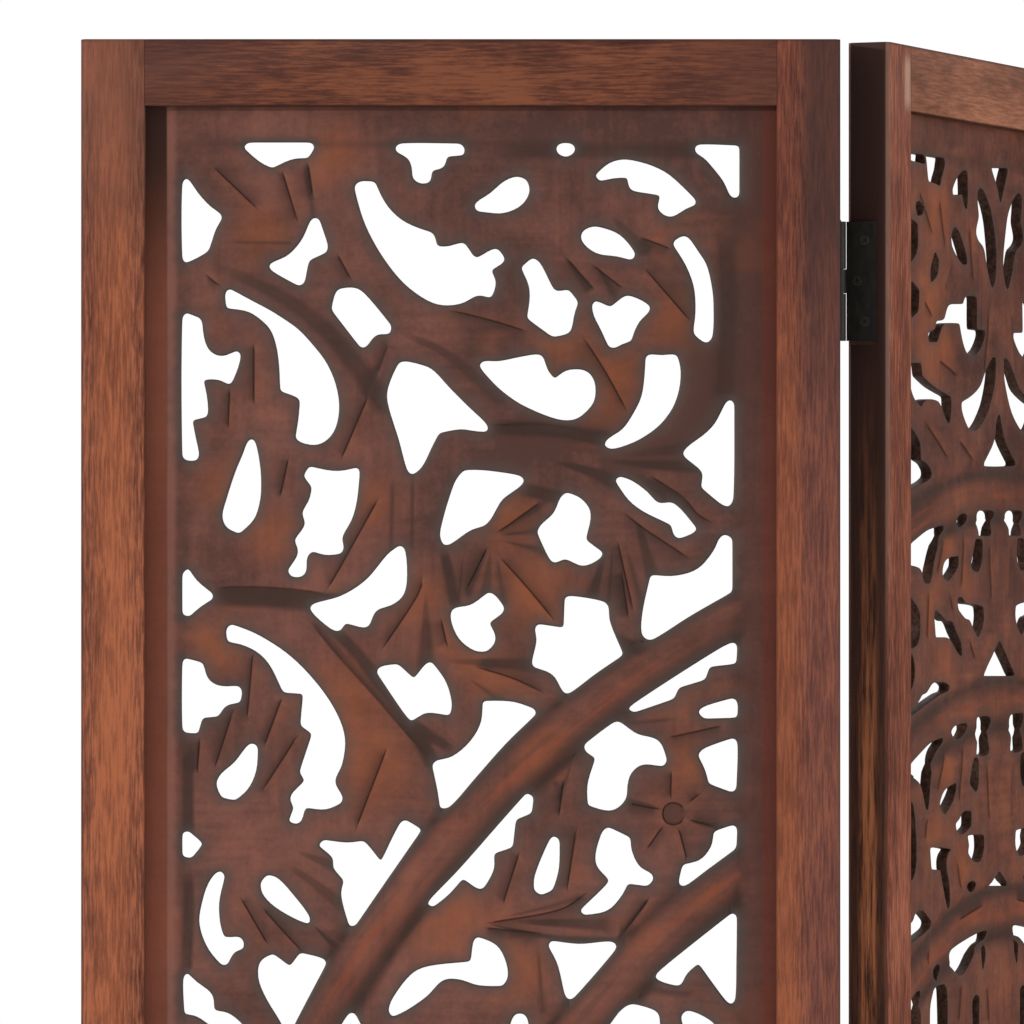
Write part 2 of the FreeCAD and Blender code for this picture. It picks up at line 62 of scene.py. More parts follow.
# The middle panel is seen at a slant: pixel places of its field's left edge and of its axis,
# the pixel height of the eye, and how much smaller those two places look than the left wing.
SLANT_LEFT_PX = 908.8
SLANT_AXIS_PX = 1000.4
EYE_HEIGHT_PX = 512
SLANT_LEFT_SHARE = 0.982
SLANT_AXIS_SHARE = 0.944

# Piercings of the left wing outside the first ring, from the top rail down to half height.
WING_CORNER_PIXELS = [
    [(243, 147), (247, 142), (312, 142), (315, 147), (308, 158), (296, 158), (286, 161), (272, 168),
     (259, 161)],
    [(395, 147), (399, 143), (461, 143), (465, 148), (464, 155), (447, 156), (445, 165), (442, 168),
     (432, 170), (431, 181), (427, 183), (420, 183), (413, 178), (412, 167), (408, 158), (396, 151)],
    [(556, 147), (560, 143), (572, 143), (576, 147), (574, 153), (566, 157), (558, 153)],
    [(695, 147), (698, 144), (740, 145), (740, 196), (735, 198), (731, 196), (724, 181), (713, 167),
     (705, 158), (696, 152)],
    [(182, 182), (186, 177), (190, 181), (198, 193), (210, 206), (221, 214), (222, 218), (216, 228),
     (210, 246), (208, 251), (190, 261), (185, 263), (182, 259)],
    [(311, 219), (315, 217), (319, 218), (325, 236), (328, 246), (327, 252), (309, 260), (307, 269),
     (304, 283), (299, 286), (271, 270), (268, 265), (272, 262), (286, 256), (295, 248), (303, 237)],
    [(354, 186), (359, 181), (375, 181), (382, 197), (391, 210), (404, 221), (422, 229), (432, 232),
     (435, 236), (437, 246), (448, 246), (463, 242), (466, 244), (473, 255), (477, 258), (492, 249),
     (498, 248), (505, 258), (504, 262), (491, 270), (496, 281), (494, 292), (491, 298), (480, 295),
     (473, 297), (465, 302), (452, 305), (437, 304), (422, 297), (404, 283), (388, 264), (374, 242),
     (364, 221), (358, 202)],
    [(474, 206), (476, 202), (490, 193), (504, 181), (517, 176), (527, 179), (530, 189), (526, 200),
     (517, 208), (502, 213), (487, 212), (477, 211)],
    [(595, 175), (609, 163), (622, 159), (634, 160), (652, 165), (668, 173), (683, 186), (697, 200),
     (696, 205), (687, 208), (674, 216), (667, 216), (659, 210), (658, 206), (661, 195), (648, 193),
     (632, 190), (629, 186), (628, 177), (613, 178), (600, 181)],
    [(581, 236), (584, 230), (594, 226), (605, 228), (618, 233), (628, 242), (636, 253), (635, 257),
     (632, 260), (617, 256), (600, 254), (590, 249), (583, 242)],
    [(673, 244), (675, 240), (684, 235), (689, 237), (698, 250), (707, 264), (712, 284), (714, 302),
     (713, 337), (708, 343), (704, 342), (694, 334), (694, 329), (696, 313), (695, 290), (690, 273),
     (683, 259)],
    [(521, 267), (533, 257), (540, 262), (554, 289), (557, 291), (569, 289), (579, 302), (575, 312),
     (572, 328), (569, 333), (553, 337), (527, 318), (530, 299), (529, 285)],
    [(592, 304), (596, 300), (611, 307), (623, 297), (628, 295), (642, 300), (651, 306), (650, 311),
     (640, 321), (634, 333), (632, 341), (622, 344), (615, 348), (609, 347), (602, 331), (594, 315)],
    [(225, 292), (229, 288), (249, 299), (268, 309), (281, 317), (298, 329), (313, 345), (326, 362),
     (335, 382), (339, 402), (338, 419), (333, 433), (324, 442), (314, 445), (300, 442), (295, 438),
     (298, 421), (300, 400), (297, 397), (280, 391), (279, 366), (276, 345), (270, 329), (259, 318),
     (247, 311), (226, 308)],
    [(331, 309), (336, 291), (341, 288), (357, 288), (368, 297), (392, 326), (390, 334), (376, 335),
     (366, 347), (361, 348), (334, 313)],
    [(182, 317), (186, 312), (192, 315), (200, 318), (202, 322), (203, 333), (206, 345), (212, 353),
     (222, 356), (231, 353), (237, 350), (241, 354), (239, 364), (232, 382), (229, 385), (220, 380),
     (210, 379), (203, 380), (206, 392), (208, 410), (207, 417), (192, 420), (196, 440), (199, 456),
     (196, 461), (185, 460), (182, 457)],
    [(387, 394), (391, 379), (399, 362), (405, 361), (419, 364), (432, 369), (450, 388), (469, 407),
     (485, 422), (489, 428), (487, 432), (475, 431), (462, 429), (448, 431), (439, 433), (432, 447),
     (422, 467), (413, 475), (408, 472), (399, 440), (389, 408)],
    [(479, 365), (483, 361), (499, 361), (519, 357), (538, 354), (543, 356), (548, 370), (555, 379),
     (565, 371), (577, 369), (587, 371), (594, 379), (596, 391), (594, 402), (586, 412), (576, 419),
     (563, 420), (548, 416), (529, 408), (516, 401), (499, 388), (483, 371)],
    [(646, 356), (650, 354), (662, 355), (674, 354), (678, 355), (681, 368), (681, 379), (679, 392),
     (673, 408), (661, 424), (647, 435), (632, 443), (611, 449), (604, 445), (608, 439), (623, 429),
     (634, 413), (642, 396), (645, 375)],
    [(726, 403), (730, 399), (735, 402), (734, 499), (730, 507), (723, 505), (701, 487), (703, 478),
     (702, 471), (684, 456), (683, 452), (690, 445), (704, 435), (715, 424), (722, 411)],
    [(247, 442), (251, 438), (255, 441), (260, 466), (261, 485), (260, 500), (254, 519), (239, 534),
     (226, 527), (222, 516), (226, 500), (235, 472), (243, 453)],
    [(303, 476), (309, 466), (326, 470), (339, 471), (351, 469), (357, 467), (360, 470), (357, 500),
     (352, 519), (342, 538), (344, 548), (341, 554), (325, 555), (312, 551), (307, 557), (306, 572),
     (301, 577), (291, 577), (287, 571), (298, 553), (294, 540), (305, 524), (302, 513), (309, 500),
     (312, 487)],
    [(440, 535), (444, 516), (449, 499), (456, 480), (464, 470), (480, 470), (499, 472), (521, 476),
     (525, 480), (522, 485), (511, 493), (502, 500), (487, 524), (471, 530), (449, 545), (443, 545)],
    [(537, 532), (541, 525), (554, 513), (561, 497), (567, 492), (582, 499), (591, 513), (586, 540),
     (604, 553), (600, 559), (583, 566), (565, 559), (556, 563), (551, 561)],
    [(615, 480), (620, 476), (633, 481), (648, 492), (659, 503), (674, 503), (698, 529), (694, 533),
     (679, 539), (674, 535), (672, 525), (659, 519), (643, 511), (629, 500)],
    [(182, 573), (188, 568), (197, 581), (213, 594), (213, 599), (200, 607), (189, 617), (182, 615)],
    [(309, 608), (313, 604), (341, 596), (366, 580), (388, 554), (400, 545), (405, 549), (407, 580),
     (403, 596), (392, 605), (376, 611), (369, 626), (364, 628), (345, 623), (341, 631), (334, 631),
     (315, 616)],
    [(451, 612), (455, 608), (471, 605), (489, 592), (495, 595), (505, 608), (503, 613), (489, 623),
     (495, 634), (495, 643), (487, 652), (475, 651), (460, 640), (452, 624)],
    [(532, 663), (537, 640), (535, 628), (538, 624), (564, 628), (565, 597), (572, 596), (605, 602),
     (609, 607), (610, 621), (624, 655), (596, 674), (569, 694), (564, 693), (553, 675), (533, 667)],
    [(642, 634), (643, 612), (651, 575), (675, 576), (698, 569), (714, 551), (720, 538), (725, 534),
     (733, 538), (733, 592), (691, 616), (653, 640), (647, 640)],
    [(226, 629), (231, 624), (258, 635), (290, 656), (318, 685), (337, 714), (345, 739), (342, 765),
     (335, 782), (343, 798), (341, 804), (325, 810), (305, 808), (301, 822), (296, 825), (288, 822),
     (294, 808), (290, 801), (291, 795), (305, 781), (299, 773), (312, 734), (300, 726), (303, 694),
     (283, 693), (270, 666), (258, 653), (242, 645), (227, 642)],
    [(182, 663), (184, 658), (203, 663), (208, 679), (219, 686), (239, 686), (242, 691), (240, 703),
     (226, 706), (218, 717), (202, 718), (198, 734), (184, 733), (182, 730)],
    [(376, 672), (380, 667), (398, 664), (414, 679), (427, 663), (432, 662), (446, 682), (452, 704),
     (450, 716), (427, 713), (417, 718), (411, 722), (403, 712)],
    [(432, 765), (436, 761), (452, 757), (470, 742), (481, 723), (483, 701), (513, 702), (535, 709),
     (537, 714), (506, 744), (475, 779), (449, 808), (440, 809), (438, 793)],
    [(248, 745), (253, 743), (258, 747), (256, 771), (248, 789), (235, 801), (221, 798), (216, 784),
     (221, 774), (234, 763)],
    [(182, 833), (188, 831), (203, 844), (191, 859), (182, 857)],
    [(318, 846), (323, 840), (347, 843), (364, 841), (371, 849), (381, 862), (401, 822), (406, 820),
     (422, 830), (379, 892), (355, 927), (349, 927), (341, 895), (344, 881), (333, 868), (333, 859)],
    [(216, 873), (221, 871), (225, 876), (219, 902), (220, 924), (224, 938), (240, 937), (244, 943),
     (243, 950), (234, 953), (227, 966), (221, 966), (207, 948), (199, 924), (202, 902), (208, 884)],
    [(260, 883), (267, 875), (277, 878), (293, 895), (310, 918), (309, 925), (296, 920), (274, 907),
     (262, 894)],
    [(258, 968), (262, 960), (273, 954), (290, 967), (300, 953), (323, 959), (327, 963), (295, 1024),
     (288, 1040), (281, 1024), (267, 1001), (259, 983)],
    [(183, 978), (187, 973), (196, 982), (212, 995), (214, 1011), (229, 1014), (245, 1028), (262, 1052),
     (272, 1080), (268, 1104), (258, 1108), (250, 1082), (236, 1052), (214, 1030), (196, 1017),
     (184, 1015)],
    [(183, 1068), (188, 1066), (205, 1092), (219, 1128), (216, 1152), (206, 1174), (186, 1200), (183, 1196)],
    [(512, 1020), (516, 1014), (524, 1014), (528, 1020), (530, 1050), (520, 1085), (508, 1100), (500, 1085),
     (505, 1050)],
]

# Vine and flower between the first two rings of the wing. It comes again, turned about the rings' centre.
WING_VINE_PIXELS = [
    [(628, 709), (634, 704), (675, 677), (723, 647), (734, 642), (738, 645), (737, 664), (710, 667),
     (706, 680), (679, 688), (675, 699), (634, 713)],
    [(698, 712), (704, 707), (734, 698), (738, 702), (738, 718), (704, 719)],
    [(584, 745), (615, 722), (620, 722), (637, 734), (659, 741), (668, 761), (664, 767), (643, 765),
     (632, 773), (628, 784), (626, 800), (612, 811), (588, 806), (588, 784), (596, 758), (586, 752)],
    [(698, 755), (704, 749), (734, 738), (738, 742), (737, 790), (733, 793), (709, 784), (706, 771)],
    [(427, 905), (430, 900), (459, 870), (503, 820), (527, 793), (534, 797), (532, 814), (516, 820),
     (513, 848), (494, 854), (494, 870), (484, 889), (479, 890), (463, 879), (449, 895), (433, 908)],
    [(551, 838), (555, 836), (560, 840), (559, 870), (553, 891), (541, 896), (534, 891), (535, 876)],
    [(602, 833), (608, 827), (631, 838), (632, 851), (640, 867), (653, 875), (654, 881), (648, 887),
     (628, 884), (623, 895), (608, 911), (584, 916), (580, 911), (605, 887), (610, 881), (596, 863)],
    [(679, 883), (683, 865), (701, 860), (712, 846), (714, 832), (734, 825), (738, 828), (737, 849),
     (707, 871), (685, 887), (680, 886)],
    [(548, 946), (551, 941), (568, 943.5), (582, 944.5), (612, 942), (617.5, 945.6), (616, 950.5), (574, 999),
     (570, 1001), (566, 998), (561, 976.5), (557, 962.5)],
    [(388, 1012), (392, 1000), (411, 975), (427, 967), (471, 962), (474, 940), (478, 937), (497, 946),
     (506, 962), (508, 978), (503, 987), (478, 986), (459, 980), (443, 981), (427, 997), (405, 1012),
     (392, 1018)],
]
VINE_TURNS_DEG = (0, 30.5)

# Inside the second ring of the wing: piercings that the photograph shows, and leaves given as
# (degrees from the top, pixels from the rings' centre).
WING_INNER_PIXELS = [
    [(655, 978), (660.7, 982), (678, 986.7), (681.7, 985.6), (687, 975), (699, 964), (726.6, 1001.7),
     (731.5, 1005.7), (735.7, 1001.7), (737, 961), (737.6, 916), (733, 913), (691, 946), (658, 973)],
    [(607, 1030), (612, 1023), (620, 1012), (630, 1005), (640, 1006), (657, 1012), (660, 1018), (660, 1045),
     (652, 1070), (630, 1085), (612, 1068)],
    [(681, 1017), (686, 1011), (693, 1012), (706, 1018), (716, 1026), (724, 1046), (716, 1066), (700, 1060),
     (688, 1040)],
]
WING_INNER_LEAVES_POLAR = [
    [(57, 742), (61, 776), (64.5, 782), (66, 750), (62, 712), (58.5, 705)],
    [(57, 675), (62, 690), (66, 672), (64, 650), (58, 646)],
]
INNER_LEAF_TURNS_DEG = (0, 20.8)
WING_HEART_POLAR = [
    [(67.8, 776), (73.8, 784), (78.8, 770), (74.8, 750), (69.8, 755)],
    [(68.8, 733), (73.8, 733), (75.3, 690), (71.8, 655), (68.3, 668)],
    [(68, 556), (76, 558), (77, 524), (71, 522)],
    [(79, 556), (87.5, 556), (87.5, 500), (80, 512)],
]

# Piercings of the middle panel's left half, from the top rail down to the last ring, and those on its axis.
MIDDLE_LEFT_PIXELS = [
    [(911, 153), (926, 154.5), (926, 164), (915, 161), (911, 160)],
    [(927, 155), (946, 158), (945, 168), (942, 178), (941, 186), (935, 183), (929, 181), (928, 170)],
    [(961, 173), (966, 170), (968, 172), (968.5, 195), (968, 209), (966.5, 210), (964, 202), (963, 194),
     (957, 195), (953.5, 195), (953, 189), (956, 181)],
    [(978, 192), (980, 188), (983, 189), (988, 199), (992, 213), (995, 232), (997, 257), (996.5, 275),
     (994, 287), (992, 288), (990, 279), (987, 264), (984.5, 248), (979, 240), (976.5, 233), (977.5, 226),
     (979.5, 217), (978.5, 205)],
    [(954, 228), (957, 227.5), (960, 232), (964.5, 245), (968, 258), (968, 264.5), (963, 264), (957, 255),
     (952.5, 245), (951.8, 235)],
    [(916, 203), (921, 201), (926, 207), (924, 214), (918, 216)],
    [(936, 251), (940, 260), (938, 275), (931, 283), (931, 270)],
    [(911, 218), (919, 224), (918, 250), (911, 263)],
    [(912, 280), (920, 290), (919, 312), (912, 318)],
    [(929, 333), (936, 329), (937, 321), (945, 319), (947, 311), (950, 305), (964, 304), (965, 299),
     (968, 296), (977.5, 297), (977.3, 329.4), (986, 330.4), (986, 336), (980, 350.5), (971, 356),
     (967, 352), (963, 340), (960, 323), (945, 324), (941, 331), (938, 342), (929, 342)],
    [(911, 363), (922, 363), (923, 376), (935, 387), (952, 397), (952, 412), (950, 424), (947, 421),
     (942, 406), (938, 400.5), (926, 400), (922, 407), (916, 400), (912, 390), (911, 380)],
    [(993, 358), (996.5, 357), (996, 375), (994, 390), (990, 407), (984, 421), (977, 430), (970, 429),
     (966, 421), (962.5, 410), (962, 402.5), (972, 396), (981, 386), (986, 372)],
    [(911, 426), (918, 437), (921.5, 446), (921.5, 460), (928, 464), (932.5, 472), (932, 477), (926, 482),
     (911, 489)],
    [(911, 544), (927, 531), (936, 527.5), (944, 525), (945, 529), (939.5, 544), (935, 562), (932.5, 577),
     (930.5, 584), (925, 583), (922, 570), (915, 566), (911, 565.5)],
    [(957, 521), (959, 516), (963, 513.5), (967.5, 514.5), (968, 520), (964, 527), (959, 526), (957, 523)],
    [(977, 514), (979, 511), (993, 511), (995.5, 514), (994.5, 519), (992, 524), (991.5, 536), (979, 536),
     (979, 523), (977.5, 518)],
    [(976, 539), (983, 539), (983, 560), (979, 572), (973, 570), (971.5, 565), (974, 552)],
    [(943, 573), (945, 563), (950, 558), (959.5, 556), (959.5, 566), (954, 575), (948.5, 581), (944.5, 578)],
    [(958, 598), (963, 597.5), (966, 603), (978, 605), (984, 607), (984.5, 618), (982.5, 629), (978.5, 638),
     (974, 629), (970.5, 620), (966, 618.5), (959, 609.5)],
    [(935, 613), (936.5, 609.5), (942, 615), (947, 621), (953, 622), (957, 632), (962, 644), (963, 656),
     (960, 655), (954, 645), (949, 638), (936.5, 638)],
    [(911, 597), (915, 602), (920.5, 612), (921, 630), (919, 644), (914.5, 648), (911, 648)],
    [(911, 653), (914, 656), (915.5, 668), (915, 680), (912.5, 690), (911, 690)],
    [(911, 713), (919, 703), (923, 695), (927, 693.5), (933, 684), (937, 682.5), (946.5, 683), (950.5, 687),
     (949, 691), (942, 694), (925, 706), (912, 716)],
    [(911, 764), (920, 754), (931, 743), (943, 737.5), (943.5, 742), (937, 752), (933, 766), (931.5, 780),
     (930, 799), (928.5, 811), (926.5, 810), (923, 790), (919.5, 781), (915, 776), (911, 774)],
    [(951, 732), (954, 727), (961, 724), (967, 723), (968, 729), (962, 738), (955, 738.5)],
    [(976.5, 719), (978, 717), (990, 717), (991.5, 722), (989, 735), (990, 753), (985, 756), (977, 755),
     (978, 738)],
    [(973.5, 762), (977, 757), (979.5, 760), (979.5, 782), (977, 793), (973, 788), (970, 783), (971, 778)],
    [(940.5, 803), (945, 791), (957, 782.5), (958, 788), (954.5, 799), (946, 815), (941, 808)],
    [(956, 824), (960, 819.5), (964, 812), (972, 811), (972, 826), (964, 834), (958, 833)],
    [(968, 836), (974, 835), (984.5, 835), (984.5, 850), (981, 862), (974.5, 861.5), (968.5, 853),
     (970, 845)],
    [(931, 848), (940, 847.5), (952, 849.5), (948, 856), (947, 866), (950, 885), (951, 904), (948.5, 911),
     (945, 894), (941, 870), (932, 869.5)],
    [(911, 800), (914, 806), (916.5, 830), (917, 866), (914, 880), (911, 881)],
    [(967, 888), (968, 884), (974, 881), (977, 884), (974, 892), (969, 891)],
    [(911, 924), (914, 921), (916, 914), (923, 911), (932.5, 922), (931, 928), (911, 944)],
    [(949, 956), (951, 950.5), (966, 940), (981, 932), (988, 930.5), (986, 939), (978, 946), (974, 956),
     (965, 973), (958, 975), (952.5, 966)],
    [(981.5, 950), (986, 944), (986, 958), (983, 972)],
    [(933, 970), (938, 964), (941, 968), (940, 982), (934, 977)],
    [(931, 1010), (934, 994), (938, 987), (945, 984), (947.5, 991), (947.5, 1040), (943, 1060), (934, 1062),
     (931, 1040)],
    [(911, 1000), (917, 992), (921, 991), (921.5, 1030), (918, 1048), (911, 1052)],
    [(972.6, 1002), (976, 995), (980, 997), (980, 1048), (974, 1052)],
]
MIDDLE_AXIS_PIXELS = [
    [(992, 168), (1009, 168), (1005, 186), (1001, 204), (997, 186)],
    [(1000, 413), (1004.5, 437), (1008, 447), (1016.5, 464), (1015, 466), (985, 466), (984, 464),
     (992.5, 447), (995.5, 437), (997, 422)],
    [(1000, 640), (1016, 676), (984, 676)],
    [(1000, 871), (1010, 886), (990, 886)],
]

# The rose at the middle of the rings: petals and the leaves round them, as
# (degrees from the petal's own line, pixels from the rings' centre).
PETAL_POLAR = [(0, 66), (7, 88), (9, 115), (6, 140), (0, 152), (-6, 140), (-9, 115), (-7, 88)]
ROSE_LEAF_POLAR = [(0, 180), (6, 195), (7, 225), (4, 275), (0, 320), (-4, 275), (-7, 225), (-6, 195)]
SIDE_LEAF_POLAR = [(0, 175), (6, 188), (7, 210), (4, 245), (0, 275), (-4, 245), (-7, 210), (-6, 188)]
QUARTER_PETAL_DEG = (30, 60)
SIDE_PETAL_DEG = 90
ROSE_LEAF_DEG = (15, 45)
SIDE_LEAF_DEG = 75

# Fine V-cuts of the wing's leaves and petals. The side to the right of each stroke slopes down to it
# and gets painted shade; the side to the left gets a painted highlight.
WING_VEIN_PIXELS = [
    [(258, 209), (212, 165)], [(282, 170), (298, 222)], [(308, 162), (313, 197)], [(337, 253), (352, 281)],
    [(205, 274), (221, 287)], [(254, 343), (254, 405)], [(230, 388), (228, 429)], [(289, 457), (280, 498)],
    [(368, 397), (341, 460)], [(449, 310), (490, 320), (529, 332)], [(583, 336), (606, 372), (628, 412)],
    [(568, 259), (595, 290)], [(592, 264), (624, 289)], [(692, 322), (645, 268)], [(640, 237), (672, 249)],
    [(488, 547), (467, 590)], [(556, 622), (528, 588), (499, 556)], [(497, 533), (540, 503)],
    [(618, 541), (634, 612)],
    [(623, 512), (648, 531), (692, 560)], [(622, 571), (629, 619)],
    [(648, 474), (683, 497), (699, 515), (715, 523)], [(422, 575), (418, 595), (382, 650)],
    [(380, 496), (340, 568), (326, 591)], [(441, 618), (448, 648)],
    [(545, 693), (512, 678), (476, 667)], [(253, 653), (247, 720)], [(282, 698), (264, 747)],
    [(299, 734), (261, 793)], [(234, 708), (215, 768)],
    [(200, 738), (197, 774)], [(388, 746), (355, 832)], [(268, 945), (240, 897)], [(305, 955), (262, 908)],
]
WING_VINE_VEIN_PIXELS = [
    [(484, 924), (557, 911), (589, 892)], [(484, 928), (540, 934)], [(650, 899), (621, 937)],
    [(520, 852), (503, 905)], [(577, 828), (567, 892)], [(564, 781), (559, 818)], [(669, 738), (723, 726)],
    [(672, 770), (671, 800)], [(626, 803), (659, 810)], [(701, 793), (688, 804)], [(722, 829), (689, 820)],
    [(688, 862), (679, 828)], [(647, 850), (664, 825)],
    [(685, 814), (682, 822), (674, 825), (666, 822), (663, 814), (666, 806), (674, 803), (682, 806),
     (685, 814)],
]

# Folds of the wing, where one stem overlaps the next: the wood drops sharply on the right of the
# stroke and rises again over a short way.
WING_FOLD_PIXELS = [
    [(431, 762), (406, 735), (375, 699), (333, 652), (305, 617)],
    [(213, 586), (262, 586), (310, 590), (345, 598)],
    [(392, 340), (380, 372), (366, 400)],
    [(490, 424), (545, 424), (606, 434)],
]

# Soft hollows of the wing by how dark the stain lies in them; the one along the top of the field is
# painted shadow of the top rail. Each widens along its line:
# half its width in pixels where it starts and where it ends, then the line.
WING_HOLLOWS = {
    0.85: [
        (9, 11, [(198, 598), (260, 599), (345, 605)]), (8, 9, [(484, 428), (545, 429), (606, 438)]),
        (6, 9, [(312, 612), (345, 640), (380, 682), (410, 722), (432, 762)]),
        (1, 9, [(552, 461), (585, 470), (614, 481)]), (2, 8, [(604, 460), (650, 465), (698, 466)]),
        (8, 8, [(518, 488), (558, 497)]), (1, 7, [(607, 546), (592, 598)]), (1, 5, [(489, 546), (469, 592)]),
        (4, 8, [(456, 752), (416, 728)]), (1, 5, [(314, 926), (336, 948)]), (7, 7, [(612, 638), (640, 650)]),
        (5, 7, [(443, 546), (455, 602)]), (6, 7, [(188, 744), (188, 828)]),
        (6, 7, [(186, 862), (189, 905), (186, 966)]),
    ],
    0.6: [
        (5, 14, [(196, 262), (240, 276), (290, 302), (330, 334), (358, 368), (384, 402)]),
        (3, 9, [(394, 330), (440, 350), (474, 376), (500, 398)]),
        # Painted shadow of the top rail: a shallow dark hollow along the top of the field.
        (8, 8, [(470, 151), (600, 151), (694, 152)]),
        (2, 3, [(226, 242), (290, 243)]), (4, 5, [(306, 164), (313, 214)]), (3, 8, [(612, 216), (644, 250)]),
        (1, 5, [(562, 252), (588, 288)]), (1, 6, [(598, 266), (616, 298)]),
        (11, 11, [(724, 215), (728, 300), (724, 392)]),
        (2, 8, [(622, 455), (690, 448)]), (2, 10, [(632, 472), (656, 488), (680, 504)]),
        (1, 5, [(503, 530), (542, 505)]), (1, 5, [(502, 535), (538, 531)]), (1, 6, [(502, 541), (546, 551)]),
        (1, 7, [(491, 550), (486, 592)]), (2, 6, [(497, 556), (504, 602)]),
        (1, 3, [(463, 556), (459, 602)]), (1, 3, [(613, 546), (609, 600)]), (2, 6, [(626, 546), (642, 604)]),
        (3, 8, [(638, 522), (652, 574)]), (2, 8, [(446, 661), (535, 665)]), (1, 6, [(468, 678), (502, 702)]),
        (4, 4, [(393, 476), (391, 548)]), (3, 3, [(413, 470), (412, 546)]), (1, 10, [(426, 590), (426, 664)]),
        (2, 7, [(298, 852), (334, 866)]), (3, 8, [(286, 865), (312, 882), (342, 906)]),
    ],
}
WING_VINE_HOLLOWS = {
    0.85: [(1, 6, [(492, 925), (548, 937), (612, 943)]), (1, 4, [(662, 809), (627, 800)])],
    0.6: [
        (1, 5, [(502, 918), (545, 908), (580, 898)]), (2, 8, [(520, 922), (604, 925)]),
        (2, 5, [(676, 719), (628, 724)]), (2, 4, [(650, 897), (621, 937)]), (1, 4, [(574, 756), (560, 800)]),
        (1, 4, [(690, 822), (716, 827)]), (2, 5, [(538, 945), (543, 1012)]), (5, 6, [(640, 990), (688, 994)]),
    ],
}

# Places on the wing where the wood shows orange through the stain, by their reach in pixels.
WING_WARM_PIXELS = {
    42: [(540, 592), (452, 926), (612, 386), (372, 764), (344, 700)],
    26: [(262, 231), (512, 518), (466, 648), (672, 322), (226, 486), (272, 536), (366, 500), (416, 596),
         (494, 682), (540, 748), (690, 762), (524, 972), (332, 152), (212, 650), (560, 340)],
}

# Such places on the middle panel's left half.
MIDDLE_WARM_PIXELS = {
    42: [(938, 205), (930, 300)],
    26: [(945, 352), (930, 380), (948, 548), (930, 608), (946, 660), (966, 590), (948, 770), (936, 838),
         (964, 870)],
}

# Strokes of the middle panel's leaves, on its left half.
MIDDLE_VEIN_PIXELS = [
    [(920, 190), (934, 235)], [(940, 200), (947, 250)], [(970, 225), (974, 285)], [(945, 290), (953, 262)],
    [(925, 300), (934, 318)], [(940, 360), (958, 376)], [(990, 310), (985, 375)], [(925, 420), (950, 460)],
    [(960, 440), (975, 462)], [(945, 540), (938, 575)], [(965, 535), (962, 590)], [(990, 545), (992, 600)],
    [(930, 590), (928, 640)], [(950, 592), (954, 612)], [(970, 640), (976, 660)], [(947, 752), (938, 792)],
    [(964, 745), (960, 802)], [(988, 764), (990, 820)], [(928, 818), (926, 842)], [(958, 860), (962, 890)],
    [(984, 905), (960, 920)], [(930, 948), (928, 966)], [(962, 985), (960, 1024)], [(988, 985), (990, 1024)],
]


# Places of the panels and of the pixel drawings

BORDER = 19.3 * MM
GROOVE = 8 * MM
PANEL_HALF_WIDTH = 200.75 * MM
FRAME_TOP = 1650 * MM
MIDDLE_TURN_DEG = 66
wing_low, wing_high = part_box("left_panel_carved_board")
BOARD_HALF_WIDTH = (wing_high.x - wing_low.x) / 2
BOARD_HALF_DEPTH = (wing_high.y - wing_low.y) / 2
BOARD_MIDDLE = (wing_high.z + wing_low.z) / 2
BOARD_HALF_HEIGHT = (wing_high.z - wing_low.z) / 2
FIELD_HALF_WIDTH = BOARD_HALF_WIDTH - GROOVE - BORDER
FIELD_HALF_HEIGHT = BOARD_HALF_HEIGHT - GROOVE - BORDER
PIXEL = FIELD_HALF_HEIGHT / (FIELD_MIDDLE_PX - FIELD_TOP_PX)


def wing_place(panel):
    low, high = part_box(f"{panel}_panel_carved_board")
    return Matrix.Translation(((low.x + high.x) / 2, (low.y + high.y) / 2, 0))


PLACES = {
    "left": wing_place("left"),
    "middle": Matrix.Rotation(math.radians(MIDDLE_TURN_DEG), 4, "Z"),
    "right": wing_place("right"),
}
MIDDLES = {panel: place.translation.x for panel, place in PLACES.items()}
STILE_SPAN = (BOARD_HALF_WIDTH - GROOVE, PANEL_HALF_WIDTH)
RAIL_SPAN = (BOARD_HALF_HEIGHT - GROOVE, FRAME_TOP - BOARD_MIDDLE)
TURNS_DEG = {"left": 0, "middle": MIDDLE_TURN_DEG, "right": 0}


def turned(point, centre, degrees):
    """A pixel point turned about the rings' centre, towards the left and down."""
    turn = math.radians(degrees)
    across = point[0] - centre[0]
    down = point[1] - centre[1]
    return (centre[0] + across * math.cos(turn) + down * math.sin(turn),
            centre[1] - across * math.sin(turn) + down * math.cos(turn))


def polar_point(point, centre, degrees):
    """A point given by its angle and its distance from the rings' centre, turned further, in pixels."""
    turn = math.radians(point[0] + degrees)
    return centre[0] - point[1] * math.sin(turn), centre[1] - point[1] * math.cos(turn)


def unslanted(point):
    """A pixel point of the slanted middle panel, as it lies when that panel is seen square on."""
    from_left = (point[0] - SLANT_LEFT_PX) * SLANT_AXIS_SHARE
    to_axis = (SLANT_AXIS_PX - point[0]) * SLANT_LEFT_SHARE
    along = from_left / (from_left + to_axis)
    scale = 1 / ((1 - along) / SLANT_LEFT_SHARE + along / SLANT_AXIS_SHARE)
    across = FIELD_LEFT_PX + along * (MIDDLE_RING_CENTRE_PX[0] - FIELD_LEFT_PX)
    return across, EYE_HEIGHT_PX + (point[1] - EYE_HEIGHT_PX) / scale


def mirrored(line, centre, across, down):
    """A line mirrored across the vertical axis or down, and reversed where that swaps its right and left."""
    if across:
        line = [(2 * centre[0] - x, y) for x, y in line]
    if down:
        line = [(x, 2 * centre[1] - y) for x, y in line]
    return line[::-1] if across != down else line


def both_halves(upper, centre):
    return upper + [mirrored(outline, centre, False, True) for outline in upper]


def four_quarters(quarter, axis, centre):
    lines = both_halves(axis, centre)
    for across in (False, True):
        lines += both_halves([mirrored(outline, centre, across, False) for outline in quarter], centre)
    return lines


